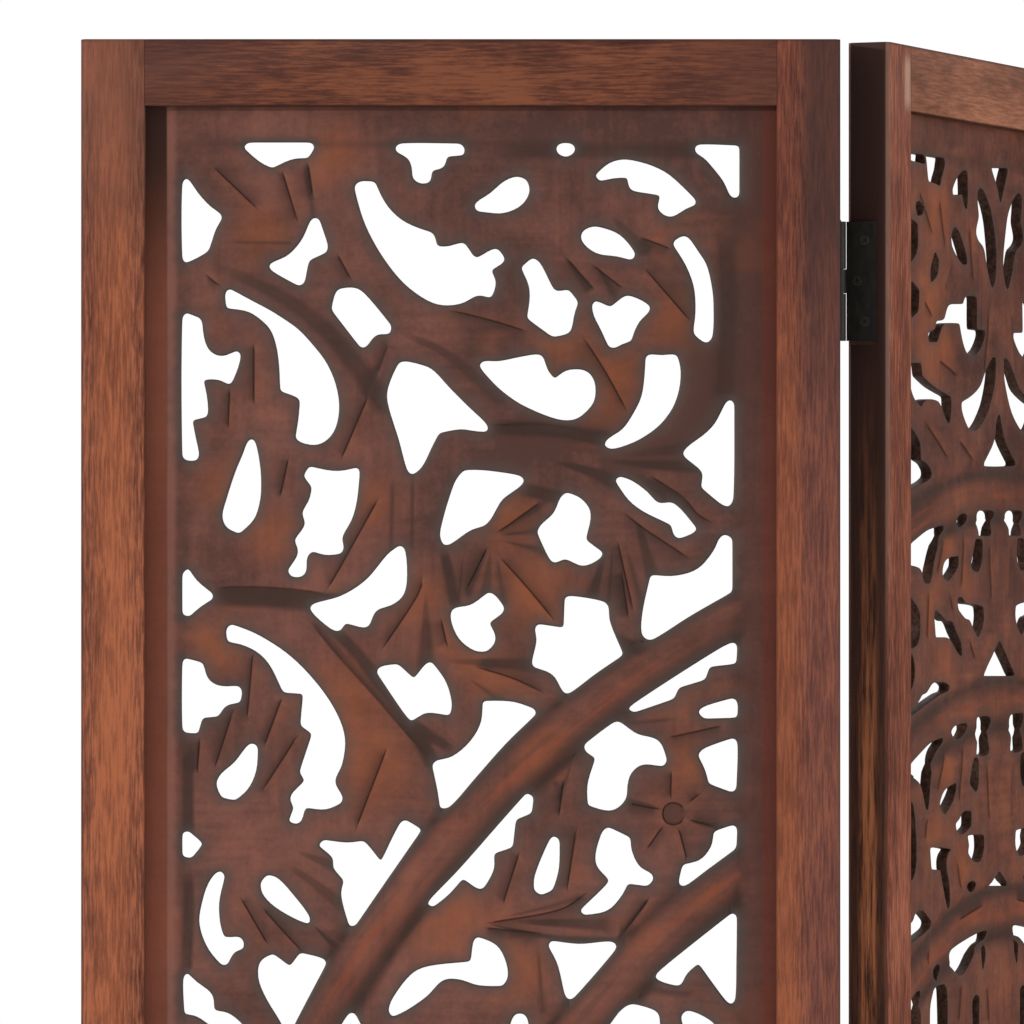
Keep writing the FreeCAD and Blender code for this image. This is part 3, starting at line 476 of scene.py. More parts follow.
def wing_lines(corner, vine, inner, inner_leaves, heart):
    """Lines of a wing in pixels: those near the corner, the repeated vine, and those inside the rings."""
    centre = WING_RING_CENTRE_PX
    upper = list(corner)
    for degrees in VINE_TURNS_DEG:
        upper += [[turned(point, centre, degrees) for point in line] for line in vine]
    upper += inner
    for degrees in INNER_LEAF_TURNS_DEG:
        upper += [[polar_point(point, centre, degrees) for point in leaf] for leaf in inner_leaves]
    upper += [[polar_point(point, centre, 0) for point in leaf] for leaf in heart]
    return both_halves(upper, centre)


def middle_lines(left_half, on_axis):
    """Lines of the middle panel in pixels, without the rose."""
    quarter = [[unslanted(point) for point in line] for line in left_half]
    axis = [[unslanted(point) for point in line] for line in on_axis]
    return four_quarters(quarter, axis, MIDDLE_RING_CENTRE_PX)


def rose_shapes(shape, angles):
    """A petal or leaf of the rose, turned to each of the angles."""
    centre = MIDDLE_RING_CENTRE_PX
    return [[polar_point(point, centre, degrees) for point in shape] for degrees in angles]


def rose_lines():
    centre = MIDDLE_RING_CENTRE_PX
    quarter = rose_shapes(PETAL_POLAR, QUARTER_PETAL_DEG) + rose_shapes(ROSE_LEAF_POLAR, ROSE_LEAF_DEG)
    quarter += rose_shapes(SIDE_LEAF_POLAR, [SIDE_LEAF_DEG])
    top, side = rose_shapes(PETAL_POLAR, (0, SIDE_PETAL_DEG))
    return four_quarters(quarter, [top], centre) + [side, mirrored(side, centre, True, False)]


def on_board(line):
    """A pixel line as places across and up the board, in metres."""
    pixels = np.array(line, float)
    across = (pixels[:, 0] - FIELD_LEFT_PX) / (FIELD_RIGHT_PX - FIELD_LEFT_PX) * 2 - 1
    up = (FIELD_MIDDLE_PX - pixels[:, 1]) / (FIELD_MIDDLE_PX - FIELD_TOP_PX)
    return np.stack([across * FIELD_HALF_WIDTH, BOARD_MIDDLE + up * FIELD_HALF_HEIGHT], 1)


# Outlines of the piercings

CURVE_STEP = 0.7 * MM
ROUNDING_PASSES = 9
SHARP_TURN_DEG = 50
TURN_STEP_DEG = 18
LENGTH_STEP = 5 * MM
WING_RIM = 1.2 * MM
MIDDLE_RIM = 0.35 * MM
RIM_BEND_SHARE = 0.6
WEB_SHARE = 0.35
WEB_REACH = 5 * MM
FEWEST_STEPS = 2
FEWEST_POINTS = 12
SPARE_POINTS = 3


def step_lengths(curve):
    """Distance of each point of a closed curve from the next."""
    return np.linalg.norm(np.roll(curve, -1, 0) - curve, axis=1)


def spread(curve, costs, count_for):
    """A closed curve with its points spread evenly by what each step costs, as many as the sum calls for."""
    closed = np.vstack([curve, curve[:1]])
    run = np.concatenate([[0], np.cumsum(costs)])
    places = np.linspace(0, run[-1], count_for(run[-1]), endpoint=False)
    return np.stack([np.interp(places, run, closed[:, axis]) for axis in (0, 1)], 1)


def smoothed(values):
    """Values round a closed curve, each drawn towards its two neighbours."""
    return (np.roll(values, 1, 0) + 2 * values + np.roll(values, -1, 0)) / 4


def smooth_piece(start, end, leave, arrive, step):
    """Points about a step apart on a smooth curve from start up to, but without, end."""
    count = max(int(np.linalg.norm(end - start) / step), FEWEST_STEPS)
    share = np.linspace(0, 1, count, endpoint=False)[:, None]
    return ((2 * share ** 3 - 3 * share ** 2 + 1) * start
            + (share ** 3 - 2 * share ** 2 + share) * leave
            + (3 * share ** 2 - 2 * share ** 3) * end
            + (share ** 3 - share ** 2) * arrive)


def signed_area(curve):
    after = np.roll(curve, -1, 0)
    return (curve[:, 0] * after[:, 1] - curve[:, 1] * after[:, 0]).sum() / 2


def turns(curve):
    """Signed turn at each point of a closed curve, in radians."""
    forward = np.roll(curve, -1, 0) - curve
    heading = np.arctan2(forward[:, 1], forward[:, 0])
    return (heading - np.roll(heading, 1) + math.pi) % (2 * math.pi) - math.pi


def carved_curve(corners):
    """Closed curve through the corners: smooth where they turn gently, else rounded as a fretsaw turns."""
    if signed_area(corners) < 0:
        corners = corners[::-1]
    after = np.roll(corners, -1, 0)
    before = np.roll(corners, 1, 0)
    sharp = np.abs(turns(corners)) > math.radians(SHARP_TURN_DEG)
    chord = after - before
    chord /= np.linalg.norm(chord, axis=1)[:, None]
    pieces = []
    for spot in range(len(corners)):
        end = (spot + 1) % len(corners)
        edge = corners[end] - corners[spot]
        length = np.linalg.norm(edge)
        leave = edge if sharp[spot] else chord[spot] * length
        arrive = edge if sharp[end] else chord[end] * length
        pieces.append(smooth_piece(corners[spot], corners[end], leave, arrive, CURVE_STEP))
    curve = np.vstack(pieces)
    curve = spread(curve, step_lengths(curve), lambda total: max(int(total / CURVE_STEP), FEWEST_POINTS))
    for _ in range(ROUNDING_PASSES):
        curve = smoothed(curve)
    return curve


def thinned(curve):
    """The curve with points close together only where it bends."""
    costs = np.abs(turns(curve)) / math.radians(TURN_STEP_DEG) + step_lengths(curve) / LENGTH_STEP
    return spread(curve, costs, lambda total: int(total) + SPARE_POINTS)


def tree_of(points):
    tree = KDTree(len(points))
    for index, (across, up) in enumerate(points):
        tree.insert((across, up, 0), index)
    tree.balance()
    return tree


def distances(points, tree):
    return np.array([tree.find((across, up, 0))[2] for across, up in points])


def widened(loops, rim):
    """Each loop moved out into the wood by the width of the rounded rim, less where the wood is thin."""
    owner = np.concatenate([np.full(len(loop), index) for index, loop in enumerate(loops)])
    place = np.concatenate([np.arange(len(loop)) for loop in loops])
    points = np.vstack(loops)
    tree = tree_of(points)
    wide = []
    for index, loop in enumerate(loops):
        tangent = np.roll(loop, -1, 0) - np.roll(loop, 1, 0)
        tangent /= np.linalg.norm(tangent, axis=1)[:, None]
        outward = np.stack([tangent[:, 1], -tangent[:, 0]], 1)
        lengths = step_lengths(loop)
        bend = np.maximum(-turns(loop), 0) / ((lengths + np.roll(lengths, 1)) / 2)
        reach = np.minimum(rim, RIM_BEND_SHARE / np.maximum(bend, 1))
        for spot, (across, up) in enumerate(loop):
            gaps = []
            for _, other, gap in tree.find_range((across, up, 0), WEB_REACH):
                steps = abs(int(place[other]) - spot)
                ahead = (points[other] - loop[spot]) @ outward[spot] > gap / 2
                if owner[other] != index or (ahead and min(steps, len(loop) - steps) > 1):
                    gaps.append(gap)
            if gaps:
                reach[spot] = min(reach[spot], WEB_SHARE * min(gaps))
        wide.append((outward, smoothed(reach)))
    return wide


def inside_any(points, loops):
    """Which points lie inside one of the closed loops."""
    hit = np.zeros(len(points), bool)
    for loop in loops:
        near = np.flatnonzero(((points > loop.min(0)) & (points < loop.max(0))).all(1))
        if not len(near):
            continue
        x, y = points[near].T
        x1, y1 = loop.T[:, :, None]
        x2, y2 = np.roll(loop, -1, 0).T[:, :, None]
        passes = (y1 > y) != (y2 > y)
        rise = np.where(y2 == y1, 1, y2 - y1)
        crossing = x1 + (y - y1) * (x2 - x1) / rise
        hit[near[(passes & (x < crossing)).sum(0) % 2 == 1]] = True
    return hit


# Relief of the boards

RING_CROWN_DROP = 1.1 * MM
RING_VALLEY = 1.9 * MM
RING_VALLEY_WIDTH = 7 * MM
RING_INNER_STAIN_WIDTH = 8 * MM
RING_OUTER_STAIN_WIDTH = 5.2 * MM
RING_INNER_STAIN = 0.8
RING_OUTER_STAIN = 0.65
RING_WARM = 0.3
VEIN_DEPTH = 0.4 * MM
VEIN_HALF_WIDTH = 0.7 * MM
VEIN_STAIN = 0.3
VEIN_SLOPE = 0.6 * MM
VEIN_SLOPE_REACH = 6 * MM
# Painted shade down the sloping right side of each vein, and a painted warm highlight on its left side.
VEIN_SIDE_SHADE = 0.6
VEIN_HIGHLIGHT_REACH = 3.5 * MM
VEIN_HIGHLIGHT = 0.35
VEIN_END_SHARE = 0.12
VEIN_END_KEPT = 0.2
FOLD_DROP = 1.2 * MM
FOLD_LIP = 1.0 * MM
FOLD_REACH = 8 * MM
FOLD_STAIN = 0.6
FOLD_END_SHARE = 0.08
HOLLOW_DEPTH_SHARE = 0.22
HOLLOW_START = 0.3
HOLLOW_START_SHARE = 0.25
WIDE_HOLLOW = 3.6 * MM
WIDE_HOLLOW_ROWS = (-1.15, -0.5, 0.5, 1.15)
NARROW_HOLLOW_ROWS = (-1.1, 0, 1.1)
WING_LEAF_SWELL = 0.9 * MM
MIDDLE_LEAF_SWELL = 0.1 * MM
LEAF_SWELL_REACH = 5 * MM
CHISEL_WAVE = 15 * MM
CHISEL_DEPTH = 0.5 * MM
FIELD_GROOVE = 0.8 * MM
FIELD_GROOVE_HALF_WIDTH = 2.8 * MM
# Painted shade that darkens and greys the wood towards each piercing's rim.
RIM_SHADE = 0.25
RIM_SHADE_REACH = 2.4 * MM
RIM_GREY_REACH = 2.6 * MM
GROOVE_STAIN = 0.4
DEEP_STAIN = 0.3
DEEP_STAIN_FROM = 0.9 * MM
DEEP_STAIN_TO = 2.4 * MM
DEEPEST = 2.2 * MM
STROKE_STEP = 3 * MM


def smooth_step(value):
    value = np.clip(value, 0, 1)
    return value * value * (3 - 2 * value)


def flowing(line):
    """An open line of pixels as a smooth row of points on the board, a short step apart."""
    corners = on_board(line)
    before = np.vstack([2 * corners[0] - corners[1], corners[:-1]])
    after = np.vstack([corners[1:], 2 * corners[-1] - corners[-2]])
    slope = (after - before) / 2
    pieces = []
    for spot in range(len(corners) - 1):
        end = spot + 1
        pieces.append(smooth_piece(corners[spot], corners[end], slope[spot], slope[end], STROKE_STEP))
    return np.vstack(pieces + [corners[-1:]])


def stroke_offsets(points, stroke):
    """Distance of points from a stroke, positive on its right, and how far along it they lie, from 0 to 1."""
    best = np.full(len(points), np.inf)
    side = np.ones(len(points))
    along = np.zeros(len(points))
    count = len(stroke) - 1
    for index in range(count):
        start = stroke[index]
        run = stroke[index + 1] - start
        length = np.linalg.norm(run)
        share = np.clip((points - start) @ run / length ** 2, 0, 1)
        away = points - (start + share[:, None] * run)
        gap = np.linalg.norm(away, axis=1)
        nearer = gap < best
        best[nearer] = gap[nearer]
        side[nearer] = np.sign(run[1] * away[nearer, 0] - run[0] * away[nearer, 1])
        along[nearer] = (index + share[nearer]) / count
    return best * np.where(side == 0, 1, side), along


def near_stroke(points, stroke, reach):
    low = stroke.min(0) - reach
    high = stroke.max(0) + reach
    return np.flatnonzero(((points > low) & (points < high)).all(1))


def end_fade(along, ends, kept=0):
    """One along a stroke, falling off over a share of its length at each end, to zero or to what is kept."""
    return kept + (1 - kept) * smooth_step(np.minimum(along, 1 - along) / ends)


def fold_share(off, reach):
    """One at the foot of a fold's lip, on the right of its stroke, easing back to zero at its reach."""
    lip = np.clip(off / FOLD_LIP, 0, 1)
    return lip * (1 - smooth_step((off - FOLD_LIP) / (reach - FOLD_LIP)))


class Carving:
    """The drawing of one board: loops through the wood, strokes of the chisel and the rings' centre.
    Warm places come by their reach in pixels. The rim is the width of the eased edge of each piercing,
    and the leaf swell is how far the wood falls off towards it."""

    def __init__(self, piercings, veins, folds, hollows, warm_places, ring_centre, rim, leaf_swell):
        curves = [carved_curve(on_board(outline)) for outline in piercings]
        self.loops = [thinned(curve) for curve in curves]
        self.rim_tree = tree_of(np.vstack(curves))
        self.veins = [flowing(line) for line in veins]
        self.folds = [flowing(line) for line in folds]
        self.hollows = [(dark, start * PIXEL, end * PIXEL, flowing(line))
                        for dark, start, end, line in hollows]
        self.warm = [(reach * PIXEL, on_board(spot)[0])
                     for reach, spots in warm_places.items() for spot in spots]
        self.ring_centre = on_board([ring_centre])[0]
        self.rings = [(outer * PIXEL, inner * PIXEL) for outer, inner in RING_EDGES_PX]
        self.rim = rim
        self.leaf_swell = leaf_swell

    def within_field(self, points):
        """How far points lie inside the edge of the pierced field; less than zero on the plain border."""
        return np.minimum(FIELD_HALF_WIDTH - np.abs(points[:, 0]),
                          FIELD_HALF_HEIGHT - np.abs(points[:, 1] - BOARD_MIDDLE))

    def add_rings(self, points, field, depth, stain, warm, crown):
        radius = np.linalg.norm(points - self.ring_centre, axis=1)
        for outer, inner in self.rings:
            half = (outer - inner) / 2
            off = np.abs(radius - (outer + inner) / 2)
            fall = RING_CROWN_DROP * (off / half) ** 3
            beyond = RING_VALLEY * (1 - smooth_step((off - half) / RING_VALLEY_WIDTH))
            ring_depth = np.where(off < half, fall, np.maximum(depth, beyond))
            near = off < half + RING_VALLEY_WIDTH
            depth[near] += ((ring_depth - depth) * field)[near]
            within = radius < (outer + inner) / 2
            width = np.where(within, RING_INNER_STAIN_WIDTH, RING_OUTER_STAIN_WIDTH)
            beside = np.where(off < half, np.exp(-((half - off) / width) ** 2),
                              1 - smooth_step((off - half) / RING_VALLEY_WIDTH))
            stain += np.where(within, RING_INNER_STAIN, RING_OUTER_STAIN) * field * beside
            warm += RING_WARM * np.exp(-(2 * off / half) ** 2) * field
            crown += (1 - smooth_step(off / half)) * field

    def add_strokes(self, points, field, depth, stain, warm):
        for dark, start, end, line in self.hollows:
            near = near_stroke(points, line, 2 * max(start, end))
            off, along = stroke_offsets(points[near], line)
            half = start + (end - start) * along
            begun = HOLLOW_START + (1 - HOLLOW_START) * smooth_step(along / HOLLOW_START_SHARE)
            share = np.exp(-(np.abs(off) / half) ** 3) * begun * field[near]
            depth[near] += HOLLOW_DEPTH_SHARE * half * share
            stain[near] = np.maximum(stain[near], dark * share)
        for line in self.folds:
            near = near_stroke(points, line, FOLD_REACH)
            off, along = stroke_offsets(points[near], line)
            share = fold_share(off, FOLD_REACH) * end_fade(along, FOLD_END_SHARE) * field[near]
            depth[near] += FOLD_DROP * share
            stain[near] = np.maximum(stain[near], FOLD_STAIN * share)
        # Each vein: a V-cut, with painted shade down its sloping right side and a painted highlight on its
        # left.
        for line in self.veins:
            near = near_stroke(points, line, 3 * VEIN_SLOPE_REACH)
            off, along = stroke_offsets(points[near], line)
            fade = end_fade(along, VEIN_END_SHARE, VEIN_END_KEPT) * field[near]
            groove = np.clip(1 - np.abs(off) / VEIN_HALF_WIDTH, 0, 1) * fade
            beside = (off > -VEIN_HALF_WIDTH / 4) & (along > 0) & (along < 1)
            slope = np.where(beside, np.exp(-np.maximum(off, 0) / VEIN_SLOPE_REACH), 0) * fade
            depth[near] += VEIN_DEPTH * groove + VEIN_SLOPE * slope
            stain[near] += VEIN_STAIN * groove + VEIN_SIDE_SHADE * slope
            warm[near] += np.where(off < 0, VEIN_HIGHLIGHT * np.exp(off / VEIN_HIGHLIGHT_REACH), 0) * fade

    def warmth(self, points):
        """How much of the orange wood shows through the stain."""
        warm = np.zeros(len(points))
        for reach, spot in self.warm:
            warm += np.exp(-(np.linalg.norm(points - spot, axis=1) / reach) ** 2)
        return warm

    def relief(self, points):
        """Depth of the carving below the board's face, and shares of stain with painted shade in it, warm
        wood with painted highlight in it, grey rim (painted shade) and crown.
        """
        inside = self.within_field(points)
        field = smooth_step(inside / (2 * FIELD_GROOVE_HALF_WIDTH) + 0.5)
        gap = distances(points, self.rim_tree)
        wave = np.array([noise.noise(Vector((across, up, 0))) for across, up in points / CHISEL_WAVE])
        depth = self.leaf_swell * np.exp(-gap / LEAF_SWELL_REACH) + CHISEL_DEPTH * (0.5 + 0.5 * wave) * field
        # Painted shade darkening towards each rim.
        stain = RIM_SHADE * np.exp(-gap / RIM_SHADE_REACH)
        warm = self.warmth(points)
        crown = np.zeros(len(points))
        self.add_rings(points, field, depth, stain, warm, crown)
        groove = np.exp(-(inside / FIELD_GROOVE_HALF_WIDTH) ** 2)
        depth += FIELD_GROOVE * groove
        stain += GROOVE_STAIN * groove
        self.add_strokes(points, field, depth, stain, warm)
        stain += DEEP_STAIN * smooth_step((depth - DEEP_STAIN_FROM) / (DEEP_STAIN_TO - DEEP_STAIN_FROM))
        # The grey share is painted shade along the rims; the stain share holds painted shade along with the
        # stain.
        shares = {"stain": np.clip(stain, 0, 1), "warm": np.clip(warm, 0, 1),
                  "grey": np.exp(-gap / RIM_GREY_REACH), "crown": crown}
        return np.minimum(depth, DEEPEST), shares

    def guide_rows(self):
        """Rows of points along the strokes and rings, which the carved face has edges on."""
        rows = []
        for line in self.veins:
            rows += [set_off(line, off) for off in (0, VEIN_HALF_WIDTH, -VEIN_HALF_WIDTH)]
        for line in self.folds:
            rows += [set_off(line, off) for off in (0, FOLD_LIP, FOLD_LIP + FOLD_REACH / 3)]
        for _, start, end, line in self.hollows:
            half = np.linspace(start, end, len(line))
            shares = WIDE_HOLLOW_ROWS if max(start, end) > WIDE_HOLLOW else NARROW_HOLLOW_ROWS
            rows += [set_off(line, share * half) for share in shares]
        for outer, inner in self.rings:
            for off in RING_ROWS:
                rows += [self.round_row(outer + off), self.round_row(inner - off)]
        return rows

    def round_row(self, radius):
        turn = np.linspace(0, 2 * math.pi, int(2 * math.pi * radius / RING_STEP))
        return self.ring_centre + radius * np.stack([np.cos(turn), np.sin(turn)], 1)


def set_off(line, off):
    """A row of points beside a stroke, at a distance to its right that may change along it."""
    run = np.gradient(line, axis=0)
    run /= np.linalg.norm(run, axis=1)[:, None]
    return line + np.reshape(off, (-1, 1)) * np.stack([run[:, 1], -run[:, 0]], 1)


# Meshes of the boards

GRID = 5.8 * MM
EDGE_GRID = 9 * MM
RING_STEP = 5.6 * MM
RING_ROWS = (-7 * MM, -3 * MM, 0, 3 * MM)
GRID_CLEAR = 2.6 * MM
GUIDE_CLEAR = 0.7 * MM
LINK_REACH = 5 * MM
SAME_SPOT = 1e-7


def board_edge():
    """Points round the board, evenly spaced, in order."""
    low = np.array([-BOARD_HALF_WIDTH, BOARD_MIDDLE - BOARD_HALF_HEIGHT])
    high = np.array([BOARD_HALF_WIDTH, BOARD_MIDDLE + BOARD_HALF_HEIGHT])
    corners = [low, np.array([high[0], low[1]]), high, np.array([low[0], high[1]])]
    sides = []
    for spot in range(len(corners)):
        start = corners[spot]
        run = corners[(spot + 1) % len(corners)] - start
        share = np.linspace(0, 1, int(np.linalg.norm(run) / EDGE_GRID), endpoint=False)
        sides.append(start + share[:, None] * run)
    return np.vstack(sides)


def grid_points():
    """Points over the whole board in a triangular grid."""
    row_step = GRID * math.sqrt(3) / 2
    low = BOARD_MIDDLE - BOARD_HALF_HEIGHT + GRID
    high = BOARD_MIDDLE + BOARD_HALF_HEIGHT - GRID
    spots = []
    for index, up in enumerate(np.arange(low, high, row_step)):
        start = -BOARD_HALF_WIDTH + GRID * (1 + index % 2 / 2)
        across = np.arange(start, BOARD_HALF_WIDTH - GRID, GRID)
        spots.append(np.stack([across, np.full(len(across), up)], 1))
    return np.vstack(spots)


def clear_of(points, kept, room, loops):
    """The points that lie on the board, outside the loops and clear of those already kept."""
    on_face = ((np.abs(points[:, 0]) < BOARD_HALF_WIDTH - room)
               & (np.abs(points[:, 1] - BOARD_MIDDLE) < BOARD_HALF_HEIGHT - room))
    points = points[on_face]
    points = points[~inside_any(points, loops)]
    return points[distances(points, tree_of(kept)) > room]


def crosses(first, second, third, fourth):
    """Whether two straight links in the plane cross."""
    def side(start, end, spot):
        return (end[0] - start[0]) * (spot[1] - start[1]) - (end[1] - start[1]) * (spot[0] - start[0])
    apart = side(first, second, third) * side(first, second, fourth)
    return apart <= 0 and side(third, fourth, first) * side(third, fourth, second) <= 0


def guide_links(carving, points, links, rim_loops):
    """The strokes' rows added to the fixed points, with a link between neighbours that cross no rim."""
    rows = carving.guide_rows()
    owner = np.concatenate([np.full(len(row), index) for index, row in enumerate(rows)])
    spots = np.vstack(rows)
    room = distances(spots, tree_of(points))
    free = ((room > GUIDE_CLEAR) & ~inside_any(spots, rim_loops)
            & (np.abs(spots[:, 0]) < BOARD_HALF_WIDTH - GRID))
    count = len(points)
    rims = [(points[start], points[end]) for start, end in links]
    rim_middles = tree_of(np.array([(start + end) / 2 for start, end in rims]))
    index = count + np.cumsum(free) - 1
    added = []
    for spot in np.flatnonzero(free[:-1] & free[1:] & (owner[:-1] == owner[1:])):
        start = spots[spot]
        end = spots[spot + 1]
        middle = (start + end) / 2
        near = rim_middles.find_range((middle[0], middle[1], 0), LINK_REACH)
        if not any(crosses(start, end, *rims[rim]) for _, rim, _ in near):
            added.append((int(index[spot]), int(index[spot + 1])))
    return np.vstack([points, spots[free]]), links + added


def face_mesh(carving, rim_loops):
    """Triangles of the carved face between the rims and the board's edge.
    Returns points, triangles, and for the edge and each rim loop the indices of its points."""
    edge = board_edge()
    fixed = [edge] + rim_loops
    points = np.vstack(fixed)
    links = []
    start = 0
    for loop in fixed:
        count = len(loop)
        links += [(start + spot, start + (spot + 1) % count) for spot in range(count)]
        start += count
    kept, links = guide_links(carving, points, links, rim_loops)
    kept = np.vstack([kept, clear_of(grid_points(), kept, GRID_CLEAR, rim_loops)])
    result = delaunay_2d_cdt([Vector(spot) for spot in kept], links, [], 0, SAME_SPOT)
    spots = np.array([tuple(spot) for spot in result[0]])
    triangles = np.array(result[2])
    centres = spots[triangles].mean(1)
    triangles = triangles[~inside_any(centres, rim_loops)]
    made_from = {}
    for index, sources in enumerate(result[3]):
        for source in sources:
            made_from[source] = index
    bounds = []
    start = 0
    for loop in fixed:
        bounds.append(np.array([made_from[start + spot] for spot in range(len(loop))]))
        start += len(loop)
    return spots, triangles, bounds


def strip(first, second):
    """Quads between two closed rows of points with the same count."""
    return np.stack([first, np.roll(first, -1), np.roll(second, -1), second], 1)


# The rim falls into each piercing in steps: share of its width, share of its fall, and how sawn the
# wood is there.
RIM_STEPS = ((0.3, 0.3, 0.15), (0.0, 1.0, 1.0))
# On the rim steps the grey share is full: painted shade over the rounded rim.
RIM_VALUES = {"stain": 0.3, "warm": 0, "grey": 1, "crown": 0}


def board_parts(carving):
    """Vertices, faces and point values of a whole board, carved alike on both faces."""
    rims = widened(carving.loops, carving.rim)
    rim_loops = [loop + outward * reach[:, None] for loop, (outward, reach) in zip(carving.loops, rims)]
    spots, triangles, bounds = face_mesh(carving, rim_loops)
    depth, shares = carving.relief(spots)
    face = np.stack([spots[:, 0], -(BOARD_HALF_DEPTH - depth), spots[:, 1]], 1)
    vertices = [face]
    values = {name: [share] for name, share in shares.items()}
    values["sawn"] = [np.zeros(len(face))]
    total = len(face)
    rows = []
    for (outward, reach), loop, bound in zip(rims, carving.loops, bounds[1:]):
        top = face[bound, 1]
        fall = np.minimum(reach, (BOARD_HALF_DEPTH - depth[bound]) / 2)
        chain = [bound]
        for spread, drop, sawn in RIM_STEPS:
            place = loop + outward * (reach * spread)[:, None]
            vertices.append(np.stack([place[:, 0], top + fall * drop, place[:, 1]], 1))
            for name, value in {**RIM_VALUES, "sawn": sawn}.items():
                values[name].append(np.full(len(loop), value))
            chain.append(np.arange(total, total + len(loop)))
            total += len(loop)
        rows.append(chain)
    front = np.vstack(vertices)
    back = front * np.array([1, -1, 1])
    faces = [tuple(triangle) for triangle in triangles]
    for chain in rows:
        for first, second in zip(chain[:-1], chain[1:]):
            faces += [tuple(quad) for quad in strip(first, second)]
    faces += [tuple(spot + total for spot in reversed(face)) for face in list(faces)]
    for chain in rows:
        faces += [tuple(quad) for quad in strip(chain[-1], chain[-1] + total)]
    faces += [tuple(quad) for quad in strip(bounds[0] + total, bounds[0])]
    values = {name: np.tile(np.concatenate(shares), 2) for name, shares in values.items()}
    return np.vstack([front, back]), faces, values


def linked(name, data):
    piece = bpy.data.objects.new(name, data)
    bpy.context.scene.collection.objects.link(piece)
    return piece


def set_point_values(mesh, name, values):
    layer = mesh.attributes.new(name, "FLOAT", "POINT")
    layer.data.foreach_set("value", np.asarray(values, np.float32))


SMOOTH_LIMIT = math.radians(48)


def finished(mesh, finish):
    """Smooth the mesh between its sharp edges and give it its finish."""
    mesh.shade_smooth()
    mesh.set_sharp_from_angle(angle=SMOOTH_LIMIT)
    mesh.materials.append(finish)


def carved_board(panel, parts, flip, finish):
    """A board with its carving, which stands for the solid board of its panel."""
    vertices, faces, values = parts
    if flip:
        vertices = vertices * np.array([-1, 1, 1])
    mesh = bpy.data.meshes.new(f"{panel}_carved_board")
    mesh.from_pydata(vertices.tolist(), [], [tuple(map(int, face)) for face in faces])
    for name, shares in values.items():
        set_point_values(mesh, name, shares)
    tidy = bmesh.new()
    tidy.from_mesh(mesh)
    bmesh.ops.recalc_face_normals(tidy, faces=tidy.faces)
    tidy.to_mesh(mesh)
    tidy.free()
    mesh.transform(PLACES[panel])
    finished(mesh, finish)
    piece = linked(f"{panel}_carving", mesh)
    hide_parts(f"{panel}_panel_carved_board")
    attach(piece, f"{panel}_panel")


# Finishes

def srgb(red, green, blue):
    """A colour given as on a screen, from 0 to 255, as the shader's own numbers."""
    shares = [value / 255 for value in (red, green, blue)]
    return [share / 12.92 if share <= 0.04045 else ((share + 0.055) / 1.055) ** 2.4 for share in shares] + [1]


class Wire:
    """An output of a node, which takes part in sums as a number does."""

    def __init__(self, nodes, socket):
        self.nodes = nodes
        self.socket = socket

    def sum_of(self, operation, first, second):
        return self.nodes.node("ShaderNodeMath", {"operation": operation}, {0: first, 1: second})

    def __add__(self, other):
        return self.sum_of("ADD", self, other)

    def __sub__(self, other):
        return self.sum_of("SUBTRACT", self, other)

    def __mul__(self, other):
        return self.sum_of("MULTIPLY", self, other)

    def __radd__(self, other):
        return self.sum_of("ADD", other, self)

    def __rsub__(self, other):
        return self.sum_of("SUBTRACT", other, self)

    def __rmul__(self, other):
        return self.sum_of("MULTIPLY", other, self)


class Nodes:
    """A node tree, built node by node."""

    def __init__(self, tree):
        self.tree = tree
        tree.nodes.clear()

    def make(self, kind, settings=None, inputs=None):
        """A node with its settings, then the values or links of its sockets."""
        made = self.tree.nodes.new(kind)
        for name, value in (settings or {}).items():
            setattr(made, name, value)
        for socket, value in (inputs or {}).items():
            if isinstance(value, Wire):
                self.tree.links.new(value.socket, made.inputs[socket])
            else:
                made.inputs[socket].default_value = value
        return made

    def node(self, kind, settings=None, inputs=None, output=0):
        """One output of a new node."""
        return Wire(self, self.make(kind, settings, inputs).outputs[output])


